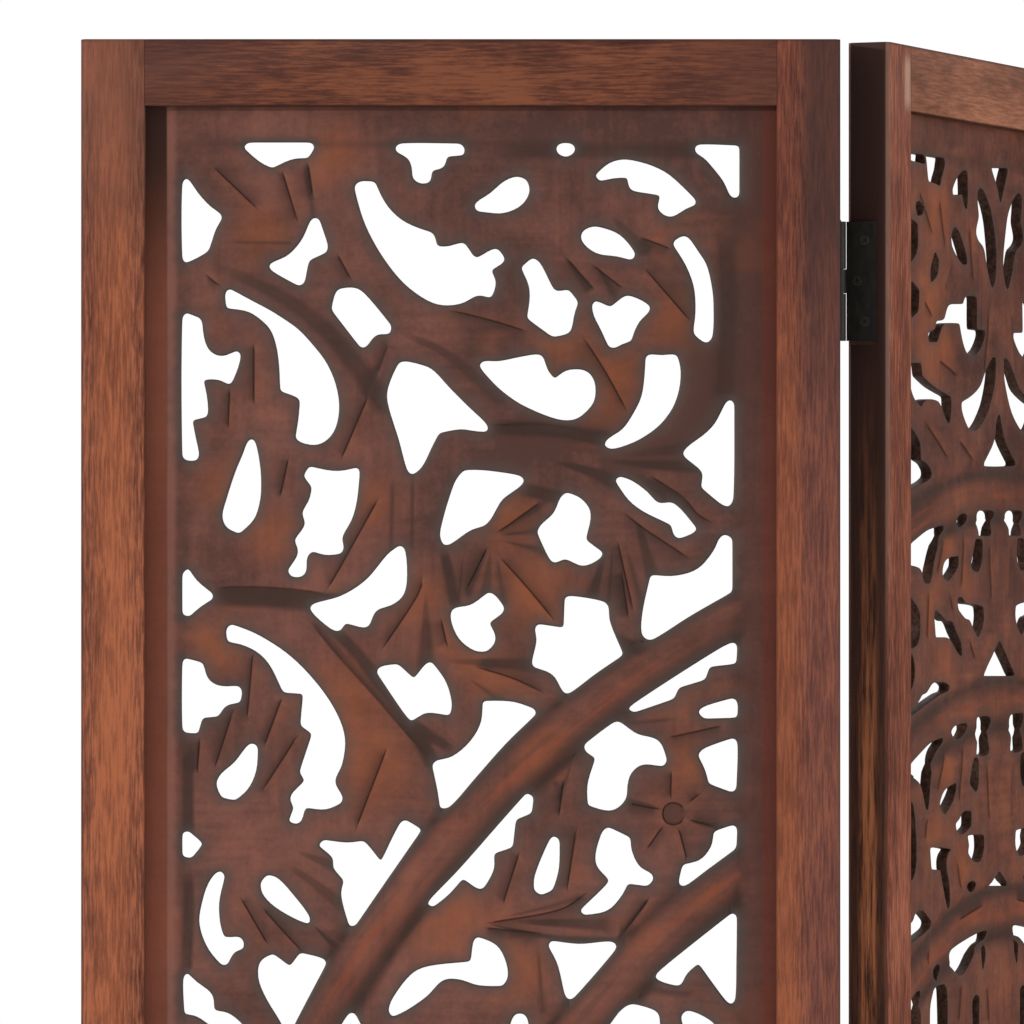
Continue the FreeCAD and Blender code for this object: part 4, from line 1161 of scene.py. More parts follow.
class Finish(Nodes):
    """A procedural material."""

    def __init__(self, name):
        self.material = bpy.data.materials.new(name)
        self.material.use_nodes = True
        super().__init__(self.material.node_tree)

    def places(self, turn_deg=0, middle_x=0):
        """Object coordinates in a panel's own frame: its width along X, from its middle."""
        raw = self.node("ShaderNodeTexCoord", output="Object")
        turn = (0, 0, math.radians(-turn_deg))
        return self.node("ShaderNodeMapping", {"vector_type": "POINT"},
                         {"Vector": raw, "Rotation": turn, "Location": (-middle_x, 0, 0)})

    def vectors(self, operation, places, other=(0, 0, 0), output=0):
        return self.node("ShaderNodeVectorMath", {"operation": operation}, {0: places, 1: other}, output)

    def along(self, places, axis):
        return self.node("ShaderNodeSeparateXYZ", None, {0: places}, axis)

    def size_of(self, value):
        return self.node("ShaderNodeMath", {"operation": "ABSOLUTE"}, {0: value})

    def clouds(self, places, scales, detail, roughness=0.55):
        """Noise from 0 to 1 whose grain differs along each axis: scales in grains per metre."""
        return self.node("ShaderNodeTexNoise", {"noise_dimensions": "3D"},
                         {"Vector": self.vectors("MULTIPLY", places, scales), "Scale": 1.0, "Detail": detail,
                          "Roughness": roughness})

    def ranged(self, value, low, high, to_low=0.0, to_high=1.0):
        """A soft step from one value to another, between two places."""
        return self.node("ShaderNodeMapRange", {"interpolation_type": "SMOOTHSTEP"},
                         {"Value": value, "From Min": low, "From Max": high,
                          "To Min": to_low, "To Max": to_high})

    def ramp(self, value, places, colours):
        made = self.make("ShaderNodeValToRGB", None, {"Fac": value})
        elements = made.color_ramp.elements
        while len(elements) < len(places):
            elements.new(1)
        for element, place, colour in zip(elements, places, colours):
            element.position = place
            element.color = colour
        return Wire(self, made.outputs[0])

    def mixed(self, share, first, second):
        return self.node("ShaderNodeMix", {"data_type": "RGBA", "clamp_factor": True},
                         {0: share, 6: first, 7: second}, 2)

    def attribute(self, name):
        return self.node("ShaderNodeAttribute", {"attribute_type": "GEOMETRY", "attribute_name": name}, None,
                         "Fac")

    def surface(self, **sockets):
        """Close the material with a Principled surface; the bump input takes a height."""
        inputs = {name.replace("_", " "): value for name, value in sockets.items() if name != "height"}
        if "height" in sockets:
            height, distance = sockets["height"]
            inputs["Normal"] = self.node("ShaderNodeBump", None,
                                         {"Height": height, "Distance": distance, "Strength": 1.0})
        shader = self.node("ShaderNodeBsdfPrincipled", None, inputs)
        self.make("ShaderNodeOutputMaterial", None, {"Surface": shader})
        return self.material


def graded(value, shares):
    """A share that rises with a value: the least, and how much more it may become."""
    least, more = shares
    return least + more * value


ALONG_X = 0
ALONG_Z = 2
TONE_PLACES = (0.2, 0.5, 0.8)
NOISE_SPAN = (0.2, 0.8)
FRAME_GLOSS = 0.06
BOARD_GLOSS = 0.08

# Grain of the bars: grains per metre across and along the bar, detail and roughness of the noise.
BAR_BROAD = (20, 5, 3.0, 0.55)
BAR_BLOTCH = (60, 24, 5.0, 0.7)
BAR_FIBRES = (850, 60, 3.0, 0.6)
BAR_SPECKS = (1900, 260, 2.0, 0.55)
BROAD_WEIGHT = 1.2
BLOTCH_WEIGHT = 0.8
SPECK_WEIGHT = 0.3
STREAK_SPAN = (0.3, 0.7)
STREAK_WEIGHTS = {ALONG_X: 0.3, ALONG_Z: 0.45}
FIBRE_HEIGHT = 0.6
SPECK_HEIGHT = 0.4
BAR_TONE_DROP = 0.65
BAR_RELIEF = 0.2 * MM
BAR_ROUGHNESS = (0.5, 0.66)

# Dark edges of the bars: how far inside the edge the stain starts and is full, and how far it wanders.
DARK_EDGE = (2.2 * MM, 0.4 * MM)
DARK_TOP = (2 * MM, 0.4 * MM)
DARK_INNER_EDGE = 1 * MM
EDGE_WANDER = 2 * MM
EDGE_STAIN = 0.6
EDGE_COLOUR = srgb(48, 30, 25)


def frame_wood(name, axis, panel, tones, offset, detail):
    """Stained wood of a bar: blotched stain over short fibres, darker along its edges."""
    wood = Finish(name)
    local = wood.places(TURNS_DEG[panel], MIDDLES[panel])
    places = wood.vectors("ADD", local, offset)

    def grain(across, along, fineness, roughness):
        scales = tuple(along if index == axis else across for index in range(3))
        return wood.clouds(places, scales, fineness, roughness)

    broad = grain(*BAR_BROAD)
    blotch = grain(*BAR_BLOTCH)
    fibres = grain(*BAR_FIBRES)
    specks = grain(*BAR_SPECKS)
    streaks = (wood.ranged(fibres, *STREAK_SPAN) - 0.5) * STREAK_WEIGHTS[axis]
    tone = broad * BROAD_WEIGHT + blotch * BLOTCH_WEIGHT + specks * SPECK_WEIGHT + streaks - BAR_TONE_DROP
    colour = wood.ramp(tone, TONE_PLACES, tones)
    height = wood.along(local, "Z")
    if axis == ALONG_Z:
        from_axis = wood.size_of(wood.along(local, "X"))
        inner, outer = STILE_SPAN
    else:
        from_axis = wood.size_of(height - BOARD_MIDDLE)
        inner, outer = RAIL_SPAN
    ragged = (blotch - 0.5) * EDGE_WANDER
    edge = wood.ranged(from_axis + ragged, outer - DARK_EDGE[0], outer - DARK_EDGE[1])
    edge = edge + wood.ranged(from_axis, inner + DARK_INNER_EDGE, inner)
    if axis == ALONG_Z:
        edge = edge + wood.ranged(height + ragged, FRAME_TOP - DARK_TOP[0], FRAME_TOP - DARK_TOP[1])
    colour = wood.mixed(edge * EDGE_STAIN, colour, EDGE_COLOUR)
    colour = detail(wood, local, colour, fibres)
    roughness = wood.ranged(blotch, *NOISE_SPAN, *BAR_ROUGHNESS)
    return wood.surface(Base_Color=colour, Roughness=roughness, Specular_IOR_Level=FRAME_GLOSS,
                        height=(fibres * FIBRE_HEIGHT + specks * SPECK_HEIGHT, BAR_RELIEF))


# Grain of the boards: grains per metre along each axis, detail and roughness of the noise.
BOARD_PATCHES = ((13, 13, 13), 4.0, 0.6)
BOARD_MOTTLE = ((70, 70, 70), 4.0, 0.65)
BOARD_FINE = ((420, 420, 420), 2.0)
GRAIN_TURNING = ((16, 16, 16), 2.0)
LEVEL_GRAIN = ((16, 60, 230), 3.0)
UPRIGHT_GRAIN = ((230, 60, 16), 3.0)
WARM_CLOUDS = ((21, 21, 25), 3.0)
RING_STREAKS = ((160, 1, 6), 3.0)
PATCH_WEIGHT = 1.2
MOTTLE_WEIGHT = 0.6
GRAIN_WEIGHT = 0.4
FINE_WEIGHT = 0.3
TURNING_SPAN = (0.47, 0.53)
BOARD_TONE_DROP = 0.75
BOARD_RELIEF = 0.3 * MM
BOARD_ROUGHNESS = (0.42, 0.6)

# The upper part of a board is darker: from what height to what height, and across it from left to right.
UPPER_HEIGHTS = (1200 * MM, 1500 * MM)
UPPER_SPAN = (-60 * MM, 80 * MM)
UPPER_DROPS = (0.08, 0.22)

# Strips beside the right stile and then the left one: where each starts and is full across the board,
# its share and its colour. On each side the strip along the stile covers the one further in.
# Along the right stile the strip is painted bounce light, red from the stile, partly varnish gathered there.
# Along the left stile the strip is the band that the stile's shadow falls on, given a redder, lighter colour
# that sets how that shadow looks: painted light.
SIDE_STRIPS = (
    ((158.5 * MM, 160.5 * MM, 0.65, srgb(96, 47, 35)), (146 * MM, 151 * MM, 0.5, srgb(78, 48, 43))),
    ((-155.4 * MM, -156.2 * MM, 0.6, srgb(142, 78, 56)), (-149 * MM, -153 * MM, 0.6, srgb(132, 86, 74))),
)
# Painted shade, partly dark stain, at the top of the left stile's shadow strip, in the corner under the top
# rail.
DARK_CORNER_HEIGHTS = (1500 * MM, 1600 * MM)
DARK_CORNER_SHARE = 0.9
DARK_CORNER_COLOUR = srgb(46, 31, 27)

WARM_COLOUR = srgb(144, 80, 49)
WARM_CLOUD_SPAN = (0.55, 0.72, 0, 0.5)
WARM_SHARES = (0.2, 0.6)
CROWN_LIGHT = srgb(140, 70, 50)
CROWN_LIGHT_SPAN = (0.46, 0.7, 0, 0.55)
CROWN_DARK = srgb(84, 54, 48)
CROWN_DARK_SPAN = (0.5, 0.32, 0, 0.45)
# Colour of the dark stain, and of the painted shade, in the cuts.
STAIN_AND_SHADE_COLOUR = srgb(58, 42, 37)
STAIN_MOTTLE_SHARES = (0.45, 0.7)
STAIN_FINE_SHARE = 0.4
STAIN_SPAN = (0, 0.95, 0, 0.92)
RIM_COLOUR = srgb(80, 72, 68)
SAWN_PLACES = (0.35, 0.65)
SAWN_COLOURS = (srgb(34, 23, 19), srgb(78, 52, 40))
SAWN_SHARE = 0.85


def ring_streaks(wood, local, centre):
    """Noise in long streaks round the rings' centre."""
    from_centre = wood.vectors("ADD", local, (-centre[0], 0, -centre[1]))
    flat = wood.vectors("MULTIPLY", from_centre, (1, 0, 1))
    radius = wood.vectors("LENGTH", flat, output="Value")
    sideways = wood.size_of(wood.along(flat, "X"))
    turn = wood.node("ShaderNodeMath", {"operation": "ARCTAN2"}, {0: wood.along(flat, "Z"), 1: sideways})
    bent = wood.node("ShaderNodeCombineXYZ", None, {0: radius, 2: turn})
    return wood.clouds(bent, *RING_STREAKS)


def board_wood(name, panel, tones, rim_grey, offset, ring_centre):
    """Stained wood of a carved board: mottled, with dark stain and painted shade in the cuts, and strips by
    the stiles, some of them painted light.
    """
    wood = Finish(name)
    local = wood.places(TURNS_DEG[panel], MIDDLES[panel])
    places = wood.vectors("ADD", local, offset)
    across = wood.along(local, "X")
    height = wood.along(local, "Z")
    patches = wood.clouds(places, *BOARD_PATCHES)
    mottle = wood.clouds(places, *BOARD_MOTTLE)
    fine = wood.clouds(places, *BOARD_FINE)
    turning = wood.ranged(wood.clouds(places, *GRAIN_TURNING), *TURNING_SPAN)
    grain = wood.clouds(places, *LEVEL_GRAIN) * turning + wood.clouds(places, *UPRIGHT_GRAIN) * (1 - turning)
    tone = patches * PATCH_WEIGHT + mottle * MOTTLE_WEIGHT + grain * GRAIN_WEIGHT + fine * FINE_WEIGHT
    tone = tone - BOARD_TONE_DROP
    tone = tone - wood.ranged(height, *UPPER_HEIGHTS) * wood.ranged(across, *UPPER_SPAN, *UPPER_DROPS)
    colour = wood.ramp(tone, TONE_PLACES, tones)
    # The warm share holds orange wood and the painted highlight beside each vein.
    warm = wood.ranged(wood.clouds(places, *WARM_CLOUDS), *WARM_CLOUD_SPAN) + wood.attribute("warm")
    colour = wood.mixed(warm * graded(mottle, WARM_SHARES), colour, WARM_COLOUR)
    streaks = ring_streaks(wood, local, ring_centre)
    crown = wood.attribute("crown")
    colour = wood.mixed(crown * wood.ranged(streaks, *CROWN_LIGHT_SPAN), colour, CROWN_LIGHT)
    colour = wood.mixed(crown * wood.ranged(streaks, *CROWN_DARK_SPAN), colour, CROWN_DARK)
    # Painted bounce light along the right stile, and painted light in the band the left stile's shadow falls
    # on.
    for (start, full, share, strip_colour), inward in SIDE_STRIPS:
        by_stile = wood.ranged(across, start, full)
        colour = wood.mixed(by_stile * share, colour, strip_colour)
        start, full, share, strip_colour = inward
        further_in = wood.ranged(across, start, full) * (1 - by_stile)
        colour = wood.mixed(further_in * share, colour, strip_colour)
    # Painted shade, partly dark stain, in the top corner beside the left stile.
    by_left_stile = by_stile
    dark_corner = by_left_stile * wood.ranged(height, *DARK_CORNER_HEIGHTS)
    colour = wood.mixed(dark_corner * DARK_CORNER_SHARE, colour, DARK_CORNER_COLOUR)
    # The stain share holds dark stain and painted shade: beside the veins, along the rims and under the top
    # rail.
    stain = wood.attribute("stain") * (graded(mottle, STAIN_MOTTLE_SHARES) + STAIN_FINE_SHARE * fine)
    colour = wood.mixed(wood.ranged(stain, *STAIN_SPAN), colour, STAIN_AND_SHADE_COLOUR)
    # Painted shade in grey along the rims of the piercings.
    colour = wood.mixed(wood.attribute("grey") * rim_grey, colour, RIM_COLOUR)
    sawn_colour = wood.ramp(fine, SAWN_PLACES, SAWN_COLOURS)
    colour = wood.mixed(wood.attribute("sawn") * SAWN_SHARE, colour, sawn_colour)
    roughness = wood.ranged(mottle, *NOISE_SPAN, *BOARD_ROUGHNESS)
    return wood.surface(Base_Color=colour, Roughness=roughness, Specular_IOR_Level=BOARD_GLOSS,
                        height=((mottle + fine) * 0.5, BOARD_RELIEF))


PIN_PLACE = (96.26 * MM, 178.09 * MM, 0)
# The barrels: paler and glossier; the paler colour is a painted highlight.
BARREL = (3.6 * MM, 3.3 * MM)
BARREL_COLOUR = srgb(62, 58, 53)
BARREL_SHARE = 0.8
BARREL_METAL_SHARE = 0.2
BARREL_SMOOTHNESS = 0.2
HINGE_RUB = ((300, 300, 120), 4.0)
HINGE_COLOURS = (srgb(22, 19, 16), srgb(40, 35, 30))
HINGE_GLOSS = 0.2
HINGE_ROUGHNESS = (0.6, 0.75)
HINGE_RELIEF = 0.06 * MM
SCREW_RUB = ((900, 900, 900), 3.0)
SCREW_COLOURS = (srgb(30, 26, 22), srgb(60, 53, 46))
SCREW_METAL_SHARE = 0.4
SCREW_ROUGHNESS = (0.45, 0.62)
SLOT_COLOUR = srgb(8, 7, 6)
IRON_PLACES = (0.35, 0.7)
RUB_SPAN = (0.3, 0.7)


def hinge_iron():
    """Matt black painted iron; the barrels paler and glossier, the paler colour a painted highlight."""
    iron = Finish("hinge_iron_black")
    places = iron.places()
    rub = iron.clouds(places, *HINGE_RUB)
    colour = iron.ramp(rub, IRON_PLACES, HINGE_COLOURS)
    flat = iron.vectors("MULTIPLY", places, (1, 1, 0))
    from_pin = iron.vectors("DISTANCE", iron.vectors("ABSOLUTE", flat), PIN_PLACE, "Value")
    barrel = iron.ranged(from_pin, *BARREL)
    # Painted highlight: a paler colour on the barrels.
    colour = iron.mixed(barrel * BARREL_SHARE, colour, BARREL_COLOUR)
    roughness = iron.ranged(rub, *RUB_SPAN, *HINGE_ROUGHNESS) - barrel * BARREL_SMOOTHNESS
    return iron.surface(Base_Color=colour, Roughness=roughness, Metallic=barrel * BARREL_METAL_SHARE,
                        Specular_IOR_Level=HINGE_GLOSS, height=(rub, HINGE_RELIEF))


def screw_iron():
    """Dark screws, black in the bottom of the slot."""
    iron = Finish("screw_iron")
    rub = iron.clouds(iron.places(), *SCREW_RUB)
    colour = iron.ramp(rub, IRON_PLACES, SCREW_COLOURS)
    colour = iron.mixed(iron.attribute("slot"), colour, SLOT_COLOUR)
    roughness = iron.ranged(rub, *RUB_SPAN, *SCREW_ROUGHNESS)
    return iron.surface(Base_Color=colour, Roughness=roughness, Metallic=SCREW_METAL_SHARE)


# Marks of single bars. Places across a panel count from its middle, heights from the floor;
# a pair says where a mark starts and where it is full.
# Painted highlight in pale grey along the rounded arris of the middle panel's left stile.
ARRIS_SPAN = (-198.2 * MM, -198.7 * MM)
ARRIS_HEIGHTS = (1300 * MM, 1450 * MM)
ARRIS_SHARE = 0.55
ARRIS_COLOUR = srgb(126, 98, 86)
HINGE_EDGE_SPAN = (-200.3 * MM, -200.6 * MM)
HINGE_EDGE_COLOUR = srgb(62, 42, 37)
GOLD_STREAKS = ((420, 420, 26), 4.0, 0.65)
GOLD_STREAK_SPAN = (0.32, 0.66)
GOLD_BAND = (4 * MM, 8 * MM)
GOLD_BAND_SHARES = (0.15, 0.85)
GOLD_WANDER = 3 * MM
GOLD_HEIGHTS = (1500 * MM, 1200 * MM)
GOLD_COLOUR = srgb(196, 124, 84)
SCRAPE_PLACE = -172.5 * MM
SCRAPE_HALF_WIDTHS = (1.5 * MM, 7 * MM)
SCRAPE_HEIGHT = 1630 * MM
SCRAPE_HALF_HEIGHTS = (8 * MM, 18 * MM)
SCRAPE_SHARE = 0.5
SCRAPE_COLOUR = srgb(196, 160, 138)
FIBRE_WANDER = 8 * MM
ORANGE_SPAN = (176 * MM, 188 * MM)
ORANGE_SHARE = 0.45
# Dark purple brown along the outer side: partly stain, partly painted shade of the rounded outer arris.
PURPLE_SPAN = (179 * MM, 191 * MM)
PURPLE_SHARES = (0.45, 0.4)
HINGED_TOP_HEIGHTS = (1380 * MM, 1580 * MM)
ORANGE_COLOURS = (srgb(142, 80, 52), srgb(100, 54, 43))
PURPLE_COLOURS = (srgb(100, 64, 59), srgb(66, 46, 43))
CORE_PLACE = 184 * MM
CORE_HALF_WIDTHS = (8 * MM, 17 * MM)
CORE_SHARE = 0.25
CORE_COLOUR = srgb(172, 98, 62)
FREE_TOP_HEIGHTS = (1500 * MM, 1620 * MM)
FREE_TOP_SHARES = (0.35, 0.4)
FREE_TOP_COLOUR = srgb(112, 74, 62)
RAIL_END_SPAN = (95 * MM, 160 * MM)
RAIL_END_SHARES = (0.3, 0.4)
RAIL_END_COLOUR = srgb(84, 52, 45)


def dark_hinge_edge(wood, local, colour, fibres):
    """The middle panel's left stile: an outer edge nearly black, with golden streaks low down,
    a painted highlight in pale grey along the rounded arris beside it, and a pale scrape near the top."""
    across = wood.along(local, "X")
    deep = wood.along(local, "Y")
    height = wood.along(local, "Z")
    # Painted highlight along the rounded arris.
    arris = wood.ranged(across, *ARRIS_SPAN) * wood.ranged(height, *ARRIS_HEIGHTS)
    colour = wood.mixed(arris * ARRIS_SHARE, colour, ARRIS_COLOUR)
    streaks = wood.ranged(wood.clouds(local, *GOLD_STREAKS), *GOLD_STREAK_SPAN)
    band = 1 - wood.ranged(wood.size_of(deep) + fibres * GOLD_WANDER, *GOLD_BAND)
    gold = streaks * wood.ranged(height, *GOLD_HEIGHTS) * graded(band, GOLD_BAND_SHARES)
    edge_colour = wood.mixed(gold, HINGE_EDGE_COLOUR, GOLD_COLOUR)
    colour = wood.mixed(wood.ranged(across, *HINGE_EDGE_SPAN), colour, edge_colour)
    beside = 1 - wood.ranged(wood.size_of(across - SCRAPE_PLACE), *SCRAPE_HALF_WIDTHS)
    within = 1 - wood.ranged(wood.size_of(height - SCRAPE_HEIGHT), *SCRAPE_HALF_HEIGHTS)
    return wood.mixed(beside * within * SCRAPE_SHARE, colour, SCRAPE_COLOUR)


def orange_side(wood, local, colour, fibres):
    """A wing's hinged stile: orange along the side by the board, dark purple brown along the other
    and at the top. Along the outer side that dark is partly stain and partly painted shade of the rounded
    arris."""
    across = wood.size_of(wood.along(local, "X")) + fibres * FIBRE_WANDER
    top = wood.ranged(wood.along(local, "Z"), *HINGED_TOP_HEIGHTS)
    inner = 1 - wood.ranged(across, *ORANGE_SPAN)
    colour = wood.mixed(inner * ORANGE_SHARE, colour, wood.mixed(top, *ORANGE_COLOURS))
    # Partly painted shade of the rounded outer arris.
    outer = wood.ranged(across, *PURPLE_SPAN)
    return wood.mixed(outer * graded(top, PURPLE_SHARES), colour, wood.mixed(top, *PURPLE_COLOURS))


def dull_top(wood, local, colour, fibres):
    """A wing's free stile: orange along its core, duller towards its top."""
    off_core = wood.size_of(wood.size_of(wood.along(local, "X")) - CORE_PLACE)
    core = 1 - wood.ranged(off_core + fibres * FIBRE_WANDER, *CORE_HALF_WIDTHS)
    colour = wood.mixed(core * CORE_SHARE, colour, CORE_COLOUR)
    top = wood.ranged(wood.along(local, "Z"), *FREE_TOP_HEIGHTS)
    return wood.mixed(top * graded(fibres, FREE_TOP_SHARES), colour, FREE_TOP_COLOUR)


def dull_ends(wood, local, colour, fibres):
    """A rail: duller towards its ends."""
    ends = wood.ranged(wood.size_of(wood.along(local, "X")), *RAIL_END_SPAN)
    return wood.mixed(ends * graded(fibres, RAIL_END_SHARES), colour, RAIL_END_COLOUR)


def plain_bar(wood, local, colour, fibres):
    """A bar without marks of its own."""
    return colour


# Tones of each kind of piece: dark, middle and light.
WING_BOARD_TONES = (srgb(78, 52, 46), srgb(102, 66, 58), srgb(124, 79, 67))
MIDDLE_BOARD_TONES = (srgb(70, 43, 36), srgb(98, 60, 49), srgb(126, 77, 58))
# Share of the grey painted shade along the rims, for each kind of board.
WING_RIM_GREY = 0.9
MIDDLE_RIM_GREY = 0.35
LEFT_STILE_TONES = (srgb(76, 43, 35), srgb(119, 70, 53), srgb(160, 94, 66))
RIGHT_STILE_TONES = (srgb(68, 40, 34), srgb(112, 66, 53), srgb(154, 90, 64))
RAIL_TONES = (srgb(54, 31, 26), srgb(86, 50, 40), srgb(122, 72, 51))
MIDDLE_TONES = (srgb(84, 47, 36), srgb(117, 66, 50), srgb(150, 92, 70))
MIDDLE_RAIL_TONES = (srgb(96, 60, 45), srgb(126, 81, 62), srgb(156, 104, 80))


# Bars of the frames

EDGE_ROUND = 0.4 * MM
EDGE_STEPS = 3
EDGE_PROFILE = 0.5
LONG_EDGE = 200 * MM
SAME_POINT = 0.002 * MM
FLAT_TURN = math.radians(1)
EDGE_TURN = math.radians(20)
QUAD = 4


def dressed_bar(node, body, finish):
    """A stile or rail with its long edges rounded over, and a stile's end edges too, which stands for the
    solid bar.
    """
    work = bmesh.new()
    work.from_mesh(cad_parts[node].data)
    bmesh.ops.remove_doubles(work, verts=work.verts, dist=SAME_POINT)
    bmesh.ops.dissolve_limit(work, angle_limit=FLAT_TURN, verts=work.verts, edges=work.edges)
    low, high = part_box(node)
    rounded = []
    for edge in work.edges:
        if len(edge.link_faces) != 2 or edge.calc_face_angle() < EDGE_TURN:
            continue
        on_end = all(min(vertex.co.z - low.z, high.z - vertex.co.z) < SAME_POINT for vertex in edge.verts)
        if edge.calc_length() > LONG_EDGE or (on_end and "stile" in node):
            rounded.append(edge)
    bmesh.ops.bevel(work, geom=rounded, offset=EDGE_ROUND, segments=EDGE_STEPS, profile=EDGE_PROFILE,
                    affect="EDGES", clamp_overlap=True)
    bmesh.ops.triangulate(work, faces=[face for face in work.faces if len(face.verts) > QUAD])
    mesh = bpy.data.meshes.new(f"{node}_dressed")
    work.to_mesh(mesh)
    work.free()
    finished(mesh, finish)
    piece = linked(f"{node}_bar", mesh)
    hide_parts(node)
    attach(piece, body)


BARS = ("left_stile", "right_stile", "top_rail", "bottom_rail")
BAR_GRAIN_STEP = (0.37, 0.23, 0.61)


def bar_finish(panel, bar, index):
    """The finish of one bar: its own streaks, and the tone that the photograph shows on its kind."""
    axis = ALONG_Z if "stile" in bar else ALONG_X
    if panel == "middle":
        tones = MIDDLE_TONES if axis == ALONG_Z else MIDDLE_RAIL_TONES
        detail = dark_hinge_edge if bar == "left_stile" else plain_bar
    elif "rail" in bar:
        tones = RAIL_TONES
        detail = dull_ends
    elif (panel, bar) in (("left", "left_stile"), ("right", "right_stile")):
        tones = LEFT_STILE_TONES
        detail = dull_top
    else:
        tones = RIGHT_STILE_TONES
        detail = orange_side
    offset = tuple(step * index for step in BAR_GRAIN_STEP)
    return frame_wood(f"{panel}_{bar}_wood", axis, panel, tones, offset, detail)


# Screws of the hinges

SCREW_HEAD_RADIUS = 2.7 * MM
SCREW_HEAD_RISE = 0.22 * MM
SCREW_SLOT_WIDTH = 0.7 * MM
SCREW_SLOT_SHARE = 0.62
SCREW_SLOT_STAND = 0.02 * MM
SCREW_SIDES = 20
SCREW_SEED = 7
SCREW_SIZES = {
    "Head Radius": SCREW_HEAD_RADIUS,
    "Head Rise": SCREW_HEAD_RISE,
    "Slot Width": SCREW_SLOT_WIDTH,
    "Slot Length": 2 * SCREW_HEAD_RADIUS * SCREW_SLOT_SHARE,
    "Slot Stand": SCREW_SLOT_STAND,
}
SCREW_HEIGHT_SHARES = (-0.34, 0.0, 0.34)
SCREW_DEPTH_SHARES = (0.62, 0.36, 0.62)
LEAF_REACH = 17 * MM
LEAF_PROUD = 0.6 * MM
FRAME_HALF_DEPTH = 12 * MM
LEVELS = ("lower", "upper")


def screw_tree(finish):
    """Geometry nodes that set a slotted flat head on each point, facing along the point's own direction."""
    tree = bpy.data.node_groups.new("hinge_screws", "GeometryNodeTree")
    face = tree.interface
    face.new_socket("Geometry", in_out="INPUT", socket_type="NodeSocketGeometry")
    for name in SCREW_SIZES:
        face.new_socket(name, in_out="INPUT", socket_type="NodeSocketFloat")
    face.new_socket("Geometry", in_out="OUTPUT", socket_type="NodeSocketGeometry")
    nodes = Nodes(tree)
    given = {socket.name: Wire(nodes, socket) for socket in nodes.make("NodeGroupInput").outputs}
    depth = given["Head Rise"] * 2
    head = nodes.node("GeometryNodeMeshCylinder", None,
                      {"Vertices": SCREW_SIDES, "Radius": given["Head Radius"], "Depth": depth}, "Mesh")
    slot_depth = depth + given["Slot Stand"]
    join = nodes.make("GeometryNodeJoinGeometry", None, {0: head})
    for length, width in (("Slot Length", "Slot Width"), ("Slot Width", "Slot Length")):
        sides = nodes.node("ShaderNodeCombineXYZ", None,
                           {"X": given[length], "Y": given[width], "Z": slot_depth})
        slot = nodes.node("GeometryNodeMeshCube", None, {"Size": sides}, "Mesh")
        marked = nodes.node("GeometryNodeStoreNamedAttribute", {"data_type": "FLOAT", "domain": "POINT"},
                            {"Geometry": slot, "Name": "slot", "Value": 1.0})
        tree.links.new(marked.socket, join.inputs[0])
    facing = nodes.node("GeometryNodeInputNamedAttribute", {"data_type": "FLOAT_VECTOR"}, {"Name": "facing"})
    aligned = nodes.node("FunctionNodeAlignRotationToVector", {"axis": "Z"}, {"Vector": facing})
    spin = nodes.make("FunctionNodeRandomValue", {"data_type": "FLOAT"},
                      {"Min": 0.0, "Max": math.pi, "Seed": SCREW_SEED})
    angle = Wire(nodes, [socket for socket in spin.outputs if socket.enabled][0])
    spun = nodes.node("FunctionNodeAxisAngleToRotation", None, {"Axis": (0, 0, 1), "Angle": angle})
    rotation = nodes.node("FunctionNodeRotateRotation", {"rotation_space": "LOCAL"},
                          {"Rotation": aligned, "Rotate By": spun})
    placed = nodes.node("GeometryNodeInstanceOnPoints", None,
                        {"Points": given["Geometry"], "Instance": Wire(nodes, join.outputs[0]),
                         "Rotation": rotation})
    real = nodes.node("GeometryNodeRealizeInstances", None, {"Geometry": placed})
    dressed = nodes.node("GeometryNodeSetMaterial", None, {"Geometry": real, "Material": finish})
    nodes.make("NodeGroupOutput", None, {"Geometry": dressed})
    return tree


def leaf_screws(panel, hand, face):
    """Places and directions of the screws in the leaves on one edge of a panel."""
    spots = []
    joint = "left" if (panel, hand) in (("left", 1), ("middle", -1)) else "right"
    leaf = "middle_leaf" if panel == "middle" else "wing_leaf"
    facing = PLACES[panel].to_3x3() @ Vector((hand, 0, 0))
    for level in LEVELS:
        low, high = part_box(f"{joint}_{level}_hinge_{leaf}")
        middle = (low.z + high.z) / 2
        for height_share, depth_share in zip(SCREW_HEIGHT_SHARES, SCREW_DEPTH_SHARES):
            across = hand * (PANEL_HALF_WIDTH + LEAF_PROUD)
            deep = face * (FRAME_HALF_DEPTH - LEAF_REACH * depth_share)
            up = middle + (high.z - low.z) * height_share
            spots.append((PLACES[panel] @ Vector((across, deep, up)), facing))
    return spots


def screws(body, spots, tree):
    """The screws that ride on one panel."""
    mesh = bpy.data.meshes.new(f"{body}_screw_places")
    mesh.from_pydata([place for place, _ in spots], [], [])
    layer = mesh.attributes.new("facing", "FLOAT_VECTOR", "POINT")
    layer.data.foreach_set("vector", [value for _, facing in spots for value in facing])
    maker = linked(f"{body}_screw_places", mesh)
    modifier = maker.modifiers.new("screws", "NODES")
    modifier.node_group = tree
    for socket in tree.interface.items_tree:
        if socket.item_type == "SOCKET" and socket.in_out == "INPUT" and socket.name in SCREW_SIZES:
            modifier[socket.identifier] = SCREW_SIZES[socket.name]
    evaluated = maker.evaluated_get(bpy.context.evaluated_depsgraph_get())
    made = bpy.data.meshes.new_from_object(evaluated)
    bpy.data.objects.remove(maker)
    piece = linked(f"{body}_hinge_screws", made)
    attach(piece, body)


# The screen

def wing_strokes(corner, vine):
    return wing_lines(corner, vine, [], [], [])


